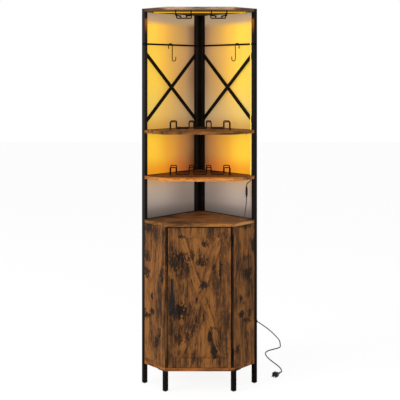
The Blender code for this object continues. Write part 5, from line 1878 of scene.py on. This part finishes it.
@dataclass
class Fasteners:
    """Small screws that the solids leave to this scene, with lobed sockets."""

    shop: Shop
    head_radius: float = 0.0035
    head: float = 0.0016
    shank_radius: float = 0.0017
    shank: float = 0.0115
    tab_spots: Span = (0.0953, 0.318)
    tab_out: float = 0.0325
    tab: float = 0.0020
    plate: float = 0.050
    plate_inset: float = 0.015
    catch_width: float = 0.045
    handle_screw: Point = (0.0042, 0.0020, 0.0019)
    leaf: float = 0.0010
    leaf_height: float = 0.050
    frame_leaf: float = 0.0012
    frame_leaf_inset: float = 0.0075
    spacing_share: float = 0.333
    leaf_screw: tuple[float, float, float, float] = (0.0022, 0.0010, 0.0010, 0.0115)
    frame_screw: tuple[float, float, float, float] = (0.0023, 0.0009, 0.0010, 0.0115)

    def pattern(self, head_radius: float, head: float, shank_radius: float, shank: float) -> Mesh:
        """Returns a screw along Z, its head's outer face at zero and its shank upward.

        Args:
            head_radius: Radius of the head.
            head: Height of the head.
            shank_radius: Radius of the shank.
            shank: Length of the shank.

        Returns:
            The screw.
        """
        pit = head_radius * 0.46
        profile = [
            (0, head * 0.55),
            (pit, head * 0.55),
            (pit, 0.0),
            (head_radius * 0.72, 0.0),
            (head_radius * 0.94, head * 0.28),
            (head_radius, head * 0.62),
            (head_radius, head),
            (shank_radius, head),
            (shank_radius, head + shank * 0.82),
            (0, head + shank),
        ]
        shape = turned(profile, 24)
        for vert in shape.verts:
            radius = vert.co.xy.length
            if abs(radius - pit) < MERGE:
                angle = Vector((1, 0)).angle_signed(vert.co.xy, 0.0)
                vert.co.xy *= 1 + 0.22 * cos(6 * angle)
        return mesh_from("screw_pattern", shape)

    def build(self) -> None:
        """Sets every screw in its hole."""
        looks = self.shop.looks
        drop = BOARD + FIT + self.tab + FIT + self.head
        places = []
        for node in RAIL_NODES:
            for side in Side:
                for u in self.tab_spots:
                    places.append(side.spot(u, self.tab_out, top_of(node) - drop))
        under = top_of("bottom_board") - drop
        near, far = self.plate_inset, self.plate - self.plate_inset
        for side in Side:
            for u, v in ((far, near), (near, far)):
                places.append(side.spot(WALL_LENGTH - u, SIDE_DEPTH - v, under))
        low, high = corners_of("magnetic_catch")
        middle = (low + high) / 2
        for hand in (-1, 1):
            across = middle.x + hand * self.catch_width * self.spacing_share
            places.append(Vector((across, middle.y, low.z - FIT - self.head)))
        places = [Matrix.Translation(place) for place in places]
        board_screw = self.pattern(self.head_radius, self.head, self.shank_radius, self.shank)
        screws = self.shop.copies("board_screws", board_screw, places, looks.zinc)
        self.shop.own(screws, "cabinet", "zinc_steel")
        self.handle_screws()
        self.leaf_screws()

    def handle_screws(self) -> None:
        """Makes the two screws behind the handle."""
        for node in ("lower_handle_screw", "upper_handle_screw"):
            low, high = corners_of(node)
            middle = (low + high) / 2
            place = Matrix.Translation((middle.x, high.y, middle.z)) @ Matrix.Rotation(pi / 2, 4, "X")
            mesh = self.pattern(*self.handle_screw, high.y - low.y - self.handle_screw[1])
            mesh.transform(place)
            screw = link(node + "_lobed", mesh)
            self.shop.own(screw, "door", "zinc_steel", self.shop.looks.zinc, (node,))

    def leaf_screws(self) -> None:
        """Makes the small screws of the hinges' leaves."""
        doorward = []
        frameward = []
        inward = facing(-Side.RIGHT.outward())
        panel_low, panel_high = corners_of("door_panel")
        for word in ("lower", "upper"):
            low, high = corners_of(word + "_hinge_door_leaf")
            for hand in (-1, 1):
                level = (low.z + high.z) / 2 + hand * self.leaf_height * self.spacing_share
                spot = (panel_high.x + FIT + self.leaf, (panel_low.y + panel_high.y) / 2, level)
                doorward.append(Matrix.Translation(spot) @ Matrix.Rotation(-pi / 2, 4, "Y"))
                out = SIDE_DEPTH + FIT + self.frame_leaf + self.frame_screw[1]
                face = Side.RIGHT.spot(WALL_LENGTH - self.frame_leaf_inset, out, level)
                frameward.append(Matrix.Translation(face) @ inward)
        for name, body, sizes, places in (
            ("door_leaf_screws", "door", self.leaf_screw, doorward),
            ("frame_leaf_screws", "cabinet", self.frame_screw, frameward),
        ):
            screws = self.shop.copies(name, self.pattern(*sizes), places, self.shop.looks.zinc)
            self.shop.own(screws, body, "zinc_steel")


@dataclass
class Door:
    """The planked door with its handle, hinges, catch and strike plate."""

    shop: Shop

    def build(self) -> None:
        """Dresses the door and what holds it."""
        looks = self.shop.looks
        for ending in ("panel", "handle_stile", "hinge_stile", "top_rail", "bottom_rail"):
            self.shop.paint("door_" + ending, looks.door)
        self.shop.paint("door_rising_plank", looks.rising)
        self.shop.paint("door_falling_plank", looks.falling)
        self.shop.fine("door_handle", "door", "black_steel", looks.handle, 0.0008)
        for word in ("lower_hinge", "upper_hinge"):
            self.shop.fine(word + "_frame_leaf", "cabinet", "black_steel", looks.steel)
            self.shop.fine(word + "_door_leaf", "door", "black_steel", looks.steel)
            self.shop.fine(word + "_pin", "cabinet", "black_steel", looks.steel)
        self.shop.fine("magnetic_catch", "cabinet", "black_plastic", looks.plastic, 0.0006)
        self.shop.paint("strike_plate", looks.zinc)


@dataclass
class WineRack:
    """One wine rack: a closed loop of wire with three cradles front and rear."""

    shop: Shop
    node: str
    shelf: str
    wire: float = 0.0024
    end_loop: float = 0.029
    cradle: float = 0.062
    cradles: int = 3
    lift: float = 0.004
    bend: float = 0.0060
    centre: float = 0.003
    half_width: float = 0.1445
    front_depth: float = 0.285
    depth: float = 0.095

    def side(self, y: float, left: float, right: float, foot: float, top: float) -> list[Point]:
        """Returns the corners of one side, from foot to foot.

        Args:
            y: Where the side stands.
            left: Its left end.
            right: Its right end.
            foot: Height of its feet.
            top: Height of its cradles.

        Returns:
            The corners.
        """
        low = top_of(self.shelf) + self.lift + self.wire
        peak = (right - left - 2 * self.end_loop - self.cradles * self.cradle) / (self.cradles - 1)
        corners = [(left, y, foot), (left, y, top)]
        for number in range(self.cradles):
            start = left + self.end_loop + number * (self.cradle + peak)
            end = start + self.cradle
            corners += [(start, y, top), (start, y, low), (end, y, low), (end, y, top)]
        return corners + [(right, y, top), (right, y, foot)]

    def build(self) -> None:
        """Makes the rack."""
        left, right = self.centre - self.half_width, self.centre + self.half_width
        foot = top_of(self.shelf) + FIT + self.wire
        top = top_of(self.node) - self.wire
        front = CORNER_Y - self.front_depth
        corners = self.side(front, left, right, foot, top)
        corners += self.side(front + self.depth, left, right, foot, top)[::-1]
        route = rounded_route(corners, self.bend, closed=True)
        rack = self.shop.wire(self.node + "_wire", route, self.wire, self.shop.looks.wire, closed=True)
        self.shop.own(rack, "cabinet", "black_steel", None, (self.node,))


@dataclass
class GlassRack:
    """One stemware rack: two bent rails on a hanger, their ends in the top board."""

    shop: Shop
    node: str
    centre: float
    wire: float = 0.0030
    half_width: float = 0.0362
    gap: float = 0.0140
    tip: float = 0.007
    bend: float = 0.0042
    front_depth: float = 0.370
    length: float = 0.175
    seat_depth: float = 0.008
    drop: float = 0.0280

    def build(self) -> None:
        """Makes the rack."""
        front = CORNER_Y - self.front_depth
        rear = front + self.length
        seat = TOTAL_HEIGHT - BOARD + self.seat_depth
        rail = TOTAL_HEIGHT - BOARD - self.drop + self.wire
        wires = []
        finish = self.shop.looks.wire
        for hand in (-1, 1):
            outer = self.centre + hand * self.half_width
            inner = self.centre + hand * self.gap
            corners = [
                (outer, front, seat),
                (outer, front, rail),
                (inner + hand * self.tip, front, rail),
                (inner, front - self.tip, rail - self.tip),
                (inner, front + 2 * self.tip, rail),
                (inner, rear, rail),
            ]
            route = rounded_route(corners, self.bend)
            wires.append(self.shop.wire(f"{self.node}_rail_{hand}", route, self.wire, finish))
        left, right = self.centre - self.half_width, self.centre + self.half_width
        corners = [(left, rear, seat), (left, rear, rail), (right, rear, rail), (right, rear, seat)]
        route = rounded_route(corners, self.bend)
        wires.append(self.shop.wire(self.node + "_hanger", route, self.wire, finish))
        rack = join_objects(self.node + "_wire", wires, finish)
        rack.data.shade_smooth()
        self.shop.own(rack, "cabinet", "black_steel", None, (self.node,))


@dataclass
class SHook:
    """One S-hook that swings on its rail."""

    shop: Shop
    side: Side
    place: float
    wire: float = 0.0021
    top_radius: float = 0.0102
    low_radius: float = 0.0097
    shank: float = 0.0675
    back_end: float = 0.016
    tip: float = 0.012
    turn: float = radians(20)
    steps: int = 14

    def build(self) -> None:
        """Makes the hook."""
        drop = HOOK_RAIL_RADIUS + FIT - (self.top_radius - self.wire)
        low = drop - self.shank
        across = self.top_radius + self.low_radius
        profile = [(-self.top_radius, drop - self.back_end), (-self.top_radius, drop - self.back_end / 2)]
        for step in range(self.steps + 1):
            angle = pi - pi * step / self.steps
            profile.append((self.top_radius * cos(angle), drop + self.top_radius * sin(angle)))
        for step in range(self.steps + 1):
            angle = pi + pi * step / self.steps
            profile.append((across + self.low_radius * cos(angle), low + self.low_radius * sin(angle)))
        profile.append((self.top_radius + 2 * self.low_radius, low + self.tip))
        route = []
        for reach, height in profile:
            u = self.place - reach * sin(self.turn)
            v = HOOK_RAIL_OUT + reach * cos(self.turn)
            route.append(self.side.spot(u, v, HOOK_RAIL_HEIGHT + height))
        word = self.side.label
        hook = self.shop.wire(word + "_hook_wire", route, self.wire, self.shop.looks.wire, sides=12)
        self.shop.own(hook, word + "_swing_hook", "black_steel", None, (word + "_hook",))


@dataclass
class Lights:
    """The two light strips, the lead that joins them, its clips and its switch."""

    shop: Shop
    radius: float = 0.0025
    lead_u: float = 0.3704
    lead_v: float = 0.0226
    switch_u: float = 0.3445
    notch_u: float = 0.3327
    exit_out: float = 0.0017
    bend: float = 0.016
    above_switch: float = 0.0095
    below_switch: float = 0.020
    jog: float = 0.018
    under_worktop: float = 0.023
    slant: float = 0.164
    droop: Point = (0, -0.001, -0.009)
    branch_fall: float = 0.012
    branch_share: float = 0.8
    cap: float = 0.004
    cap_round: float = 0.0009
    diffuser_round: float = 0.0016
    diffuser_inset: float = 0.0004
    clip_heights: tuple[float, ...] = (1.735, 1.480, 1.340, 1.150, 1.030)
    clip_half: float = 0.004
    clip_gap: float = 0.0001
    clip_wall: float = 0.0010
    clip_base: tuple[Span, Span] = ((0.0012, -0.0178), (0.0023, -0.0021))
    clip_ease: float = 0.0003
    nail: tuple[Span, ...] = ((0, 0), (0.0018, 0), (0.0020, 0.0004), (0.0020, 0.0009), (0, 0.0013))
    nail_place: Point = (0.0013, -0.0100, 0)
    switch_ribs: tuple[Span, ...] = (
        (-1, 0.52), (-0.97, 0.60), (-0.90, 0.60), (-0.89, 0.54), (-0.85, 0.54), (-0.84, 0.66), (-0.78, 0.66),
        (-0.77, 0.60), (-0.73, 0.60), (-0.72, 0.76), (-0.60, 0.88), (-0.45, 0.97), (-0.2, 1.0),
    )
    button_shares: tuple[Span, ...] = (
        (1, 0.98), (-0.55, 1.0), (-0.80, 0.95), (-0.95, 0.80), (-1.0, 0.5),
    )
    pocket_front: float = 0.004
    pocket_back: float = 0.0013

    def at(self, u: float, height: float, v: float | None = None) -> Vector:
        """Returns a point of the lead."""
        return Side.RIGHT.spot(u, self.lead_v if v is None else v, height)

    def strip(self, node: str) -> None:
        """Makes one strip: a soft diffuser between two end caps.

        Args:
            node: The CAD node of the strip.
        """
        low, high = corners_of(node)
        inner_low = low + Vector((self.cap, self.diffuser_inset, self.diffuser_round))
        inner_high = high - Vector((self.cap, self.diffuser_inset, 0))
        glow = eased(slab(inner_low, inner_high), self.diffuser_round, 3)
        body = link(node + "_diffuser", mesh_from(node + "_diffuser", glow, 60))
        self.shop.own(body, "cabinet", "light_strip", self.shop.looks.strip, (node,))
        left = slab(low, (low.x + self.cap, high.y, high.z))
        right = slab((high.x - self.cap, low.y, low.z), high)
        ends = [eased(end, self.cap_round) for end in (left, right)]
        caps = link(node + "_caps", mesh_from(node + "_caps", merged(ends)))
        self.shop.own(caps, "cabinet", "black_plastic", self.shop.looks.plastic)

    def route(self) -> list[Vector]:
        """Returns the lead's route, from the top strip to the cord's exit.

        Returns:
            The points.
        """
        strip_low, strip_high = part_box("top_light_strip")
        top = (strip_low[2] + strip_high[2]) / 2
        switch_low, switch_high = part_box("inline_switch")
        turn = switch_high[2] + self.above_switch
        worktop = top_of("cabinet_top")
        sway = worktop - self.under_worktop
        corners = [
            (strip_high[0] + FIT, self.at(self.lead_u, 0).y, top),
            self.at(self.lead_u, top),
            self.at(self.lead_u, turn + self.jog),
            self.at(self.switch_u, turn),
            self.at(self.switch_u, switch_low[2] - self.below_switch),
            self.at(self.notch_u, worktop + self.jog),
            self.at(self.notch_u, sway),
            self.at(CORD_EXIT_U, sway - self.slant),
            self.at(CORD_EXIT_U, CORD_EXIT_HEIGHT),
            self.at(CORD_EXIT_U, CORD_EXIT_HEIGHT, self.exit_out),
        ]
        return rounded_route(corners, self.bend)

    def branch(self) -> list[Vector]:
        """Returns the short branch's route, which droops from the lower strip to the lead.

        Returns:
            The points.
        """
        low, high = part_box("shelf_light_strip")
        height = (low[2] + high[2]) / 2
        start = Vector((high[0] + FIT, self.at(self.lead_u, 0).y, height))
        end = self.at(self.lead_u, height - self.branch_fall)
        middle = (start + end) / 2 + Vector(self.droop)
        route = []
        for step in range(13):
            t = step / 12
            route.append(start * (1 - t) ** 2 + middle * 2 * t * (1 - t) + end * t * t)
        return route

    def clips(self) -> None:
        """Makes the clips that hold the lead to the side post."""
        ring = bmesh.new()
        half = self.clip_half
        inner = self.radius + self.clip_gap
        outer = inner + self.clip_wall
        outline = ((inner, -half), (outer, -half), (outer, half), (inner, half))
        verts = [ring.verts.new((radius, 0, height)) for radius, height in outline]
        edges = [ring.edges.new((verts[index - 1], verts[index])) for index in range(len(verts))]
        spun(ring, verts + edges, 24)
        low, high = self.clip_base
        base = eased(slab((*low, -half), (*high, half)), self.clip_ease)
        place = Matrix.Translation(self.nail_place) @ Matrix.Rotation(-pi / 2, 4, "Y")
        nail = moved(turned(self.nail), place)
        axes = (Side.RIGHT.along(), Side.RIGHT.outward(), Vector((0, 0, 1)))
        turn = Matrix(axes).transposed().to_4x4()
        pattern = mesh_from("clip_pattern", moved(merged([ring, base, nail]), turn))
        places = [Matrix.Translation(self.at(self.lead_u, height)) for height in self.clip_heights]
        clips = self.shop.copies("lead_clips", pattern, places, self.shop.looks.lead)
        self.shop.own(clips, "cabinet", "lead_sheath")

    def switch(self) -> None:
        """Makes the moulded switch, with ribbed ends and a pocket for its button."""
        low, high = corners_of("inline_switch")
        half = (high - low) / 2
        rings = []
        for share, grow in self.switch_ribs + tuple((-share, grow) for share, grow in self.switch_ribs[::-1]):
            depth = grow if grow > 0.9 else max(0.42, grow * 0.85)
            rings.append(super_ring(half.x * grow, half.y * depth, half.z * share))
        case = moved(loft(rings), Matrix.Translation((low + high) / 2))
        body = link("inline_switch_case", mesh_from("inline_switch_case", case))
        button_low, button_high = corners_of("switch_button")
        front = Vector((FIT, self.pocket_front, FIT))
        back = Vector((FIT, self.pocket_back, FIT))
        cut(body, slab(button_low - front, button_high + back))
        body.data.shade_smooth()
        body.data.set_sharp_from_angle(angle=radians(32))
        self.shop.own(body, "cabinet", "black_plastic", self.shop.looks.plastic, ("inline_switch",))
        span = (button_high - button_low) / 2
        rings = []
        for share, grow in self.button_shares:
            ring = super_ring(span.x * grow, span.z * grow, 0, 5)
            rings.append([(x, span.y * share, y) for x, y, _ in ring])
        cap = moved(loft(rings), Matrix.Translation((button_high + button_low) / 2))
        button = link("switch_button_cap", mesh_from("switch_button_cap", cap, 50))
        self.shop.own(button, "push_button", "black_plastic", self.shop.looks.plastic, ("switch_button",))

    def build(self) -> None:
        """Makes the strips, the lead, its clips and its switch."""
        for node in ("top_light_strip", "shelf_light_strip"):
            self.strip(node)
        looks = self.shop.looks
        main = self.shop.wire("lead_main", self.route(), self.radius, looks.lead, sides=16)
        branch = self.shop.wire("lead_branch", self.branch(), self.radius * self.branch_share, looks.lead)
        lead = join_objects("light_lead_sheath", [main, branch], looks.lead)
        lead.data.shade_smooth()
        self.shop.own(lead, "cabinet", "lead_sheath", None, ("light_lead",))
        self.clips()
        self.switch()


@dataclass
class PowerCord:
    """The free power cord from its relief in the cupboard's back to its plug."""

    shop: Shop
    radius: float = 0.0028
    heading: float = radians(-126)
    spacing: float = 0.004
    ribs: int = 6
    rib: float = 0.0008
    shank: float = 0.0050
    tip: float = 0.0032
    tail: float = 0.021
    flange: float = 0.0080
    lip: float = 0.0014
    wall: float = 0.0036
    ease: float = 0.0005
    prong_gap: float = 0.0127
    prong: Point = (0.0183, 0.0015, 0.0063)
    prong_start: float = 0.0520
    neck_end: float = 0.016

    def relief(self) -> None:
        """Makes the tapered, ribbed relief."""
        shank, flange, lip, wall = self.shank, self.flange, self.lip, self.wall
        rim = flange - self.ease
        start = wall + lip
        profile = [(0, -lip), (rim, -lip), (flange, self.ease - lip), (flange, 0), (shank, 0), (shank, wall)]
        profile += [(flange, wall), (flange, start - self.ease), (rim, start), (shank + 0.0004, start)]
        for rib in range(self.ribs):
            for part, depth in ((0.08, 0), (0.55, 0), (0.62, self.rib), (0.92, self.rib)):
                share = (rib + part) / self.ribs
                radius = shank + (self.tip - shank) * share - depth * (1 - 0.5 * share)
                profile.append((radius, start + self.tail * share))
        profile += [(self.tip, start + self.tail), (0, start + self.tail)]
        place = Matrix.Translation(Side.RIGHT.spot(CORD_EXIT_U, 0, CORD_EXIT_HEIGHT))
        place = place @ Matrix.Rotation(radians(-45), 4, "Z") @ Matrix.Rotation(-pi / 2, 4, "X")
        shape = moved(turned(profile), place)
        relief = link("cord_relief_ribbed", mesh_from("cord_relief_ribbed", shape, 30))
        self.shop.own(relief, "cabinet", "black_plastic", self.shop.looks.cord, ("cord_relief",))

    def plug(self) -> list[Item]:
        """Makes the moulded plug and its prongs.

        Returns:
            The moulding and the prongs.
        """
        place = Matrix.Translation(CORD_ROUTE[-1]) @ Matrix.Rotation(self.heading, 4, "Z")
        rings = []
        for at, half_y, half_z, rise in PLUG_RINGS:
            ring = super_ring(half_y, half_z, 0, 2.0 if at < self.neck_end else 3.8)
            rings.append([(at, y, z + rise) for y, z, _ in ring])
        body = link("power_plug_moulding", mesh_from("power_plug_moulding", moved(loft(rings), place), 40))
        self.shop.own(body, "cabinet", "black_plastic", self.shop.looks.cord, ("power_plug",))
        blades = []
        length, thick, wide = self.prong
        for hand in (-1, 1):
            middle = hand * self.prong_gap / 2
            low = (self.prong_start, middle - thick / 2, -wide / 2)
            high = (self.prong_start + length, middle + thick / 2, wide / 2)
            blades.append(eased(slab(low, high), self.ease))
        prongs = link("plug_prongs", mesh_from("plug_prongs", moved(merged(blades), place)))
        self.shop.own(prongs, "cabinet", "zinc_steel", self.shop.looks.zinc)
        return [body, prongs]

    def build(self) -> None:
        route = smooth_route(CORD_ROUTE, self.spacing, self.radius + FIT / 2)
        cord = self.shop.wire("power_cord_sheath", route, self.radius, self.shop.looks.cord, sides=16)
        self.shop.own(cord, "cabinet", "black_plastic", None, ("power_cord",))
        self.relief()
        pieces = self.plug()


@dataclass
class Studio:
    """The plain pale room: floor, backdrop light, lamps and the camera."""

    eye: Point = (0.0, -3.9589, 1.481)
    lens: float = 72.9
    shift: Span = (0.00125, -0.3125)
    sensor: float = 36.0
    world_level: float = 0.40
    floor_colours: tuple[Colour, Colour] = ((0.86, 0.86, 0.86), (0.88, 0.88, 0.88))
    floor_roughness: float = 0.9
    floor_glow: float = 1.2
    floor_glow_share: float = 0.72
    floor_half: float = 14.0
    strip_colour: Colour = (1.0, 0.50, 0.10)
    strip_share: float = 0.96
    strip_width: float = 0.012
    strip_gap: float = 0.003

    def camera(self) -> None:
        """Sets the camera at the photograph's viewing angle."""
        data = bpy.data.cameras.new("camera")
        data.lens = self.lens
        data.sensor_width = self.sensor
        data.shift_x, data.shift_y = self.shift
        data.clip_end = 60
        item = bpy.data.objects.new("camera", data)
        item.location = self.eye
        item.rotation_euler = (radians(90), 0, 0)
        bpy.context.scene.collection.objects.link(item)
        bpy.context.scene.camera = item

    def floor(self) -> None:
        """Lays a wide pale floor that keeps a soft shadow."""
        p = Painter("studio_floor")
        at = p.coords()
        cloud = p.noise(at, 3, 2)
        p.set(Base_Color=p.blend(cloud, *self.floor_colours), Roughness=self.floor_roughness)
        glow = p.put("ShaderNodeEmission")
        glow.inputs["Strength"].default_value = self.floor_glow
        path = p.put("ShaderNodeLightPath")
        mix = p.put("ShaderNodeMixShader")
        seen = p.sums("MAXIMUM", path.outputs["Is Camera Ray"], path.outputs["Is Transmission Ray"])
        seen = p.sums("MAXIMUM", seen, path.outputs["Is Glossy Ray"])
        p.feed(mix.inputs[0], p.sums("MULTIPLY", seen, self.floor_glow_share))
        p.feed(mix.inputs[1], p.shader.outputs[0])
        p.feed(mix.inputs[2], glow.outputs[0])
        p.feed(p.tree.nodes["Material Output"].inputs["Surface"], mix.outputs[0])
        shape = bmesh.new()
        bmesh.ops.create_grid(shape, x_segments=4, y_segments=4, size=self.floor_half)
        mesh = bpy.data.meshes.new("studio_floor")
        shape.to_mesh(mesh)
        shape.free()
        mesh.materials.append(p.material)
        link("studio_floor", mesh)

    def world(self) -> None:
        """Lights the room evenly and shows it white."""
        world = bpy.data.worlds.new("studio")
        world.use_nodes = True
        tree = world.node_tree
        back = tree.nodes["Background"]
        back.inputs["Color"].default_value = (1, 1, 1, 1)
        path = tree.nodes.new("ShaderNodeLightPath")
        seen = path.outputs["Is Camera Ray"]
        for ray in ("Is Transmission Ray", "Is Glossy Ray"):
            either = tree.nodes.new("ShaderNodeMath")
            either.operation = "MAXIMUM"
            tree.links.new(seen, either.inputs[0])
            tree.links.new(path.outputs[ray], either.inputs[1])
            seen = either.outputs[0]
        level = tree.nodes.new("ShaderNodeMapRange")
        level.inputs["To Min"].default_value = self.world_level
        level.inputs["To Max"].default_value = 1.0
        tree.links.new(seen, level.inputs["Value"])
        tree.links.new(level.outputs[0], back.inputs["Strength"])
        bpy.context.scene.world = world

    def lamp(self, name: str, place: Point, aim: Point, size: float, power: float) -> None:
        """Adds one soft lamp aimed at a point.

        Args:
            name: The lamp's name.
            place: Where it stands.
            aim: The point it faces.
            size: Its diameter.
            power: Its power in watts.
        """
        data = bpy.data.lights.new(name, "AREA")
        data.shape = "DISK"
        data.size = size
        data.energy = power
        item = bpy.data.objects.new(name, data)
        item.location = place
        item.rotation_euler = (Vector(aim) - Vector(place)).to_track_quat("-Z", "Y").to_euler()
        bpy.context.scene.collection.objects.link(item)

    def strip_lamp(self, name: str, node: str, power: float) -> None:
        """Adds the light that a strip throws down, as a long thin lamp under it.

        Args:
            name: The lamp's name.
            node: The CAD node of the strip.
            power: Its power in watts.
        """
        low, high = corners_of(node)
        data = bpy.data.lights.new(name, "AREA")
        data.shape = "RECTANGLE"
        data.size = (high - low).x * self.strip_share
        data.size_y = self.strip_width
        data.energy = power
        data.color = self.strip_colour
        item = bpy.data.objects.new(name, data)
        item.location = ((low.x + high.x) / 2, (low.y + high.y) / 2, low.z - self.strip_gap)
        item.visible_camera = False
        item.visible_glossy = False
        bpy.context.scene.collection.objects.link(item)

    def build(self) -> None:
        """Sets up the whole studio."""
        self.camera()
        self.floor()
        self.world()
        self.lamp("key", place=(-3.5, -1.9, 1.7), aim=(0, 0, 0.95), size=2.6, power=78)
        self.lamp("fill", place=(0.8, -4.1, 1.9), aim=(0, 0, 0.9), size=2.4, power=52)
        self.strip_lamp("top_strip_light", "top_light_strip", power=0.38)
        self.strip_lamp("shelf_strip_light", "shelf_light_strip", power=0.21)
        settings = bpy.context.scene.view_settings
        settings.view_transform = "Standard"


def main() -> None:
    """Builds the scene in order."""
    logging.basicConfig(level=logging.INFO, format="%(message)s")
    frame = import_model()
    Studio().build()
    shop = Shop(frame, build_palette(), sweep_tree(), repeat_tree())
    PowerCord(shop).build()
    SideFrames(shop).build()
    Boards(shop).build()
    Door(shop).build()
    Fasteners(shop).build()
    WineRack(shop, "upper_wine_rack", "upper_shelf").build()
    WineRack(shop, "lower_wine_rack", "lower_shelf").build()
    GlassRack(shop, "left_glass_rack", -0.076).build()
    GlassRack(shop, "right_glass_rack", 0.092).build()
    SHook(shop, Side.LEFT, 0.2175).build()
    SHook(shop, Side.RIGHT, 0.2755).build()
    Lights(shop).build()
    log.info("%d pieces made", shop.made)
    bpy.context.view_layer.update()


if __name__ == "__main__":
    main()
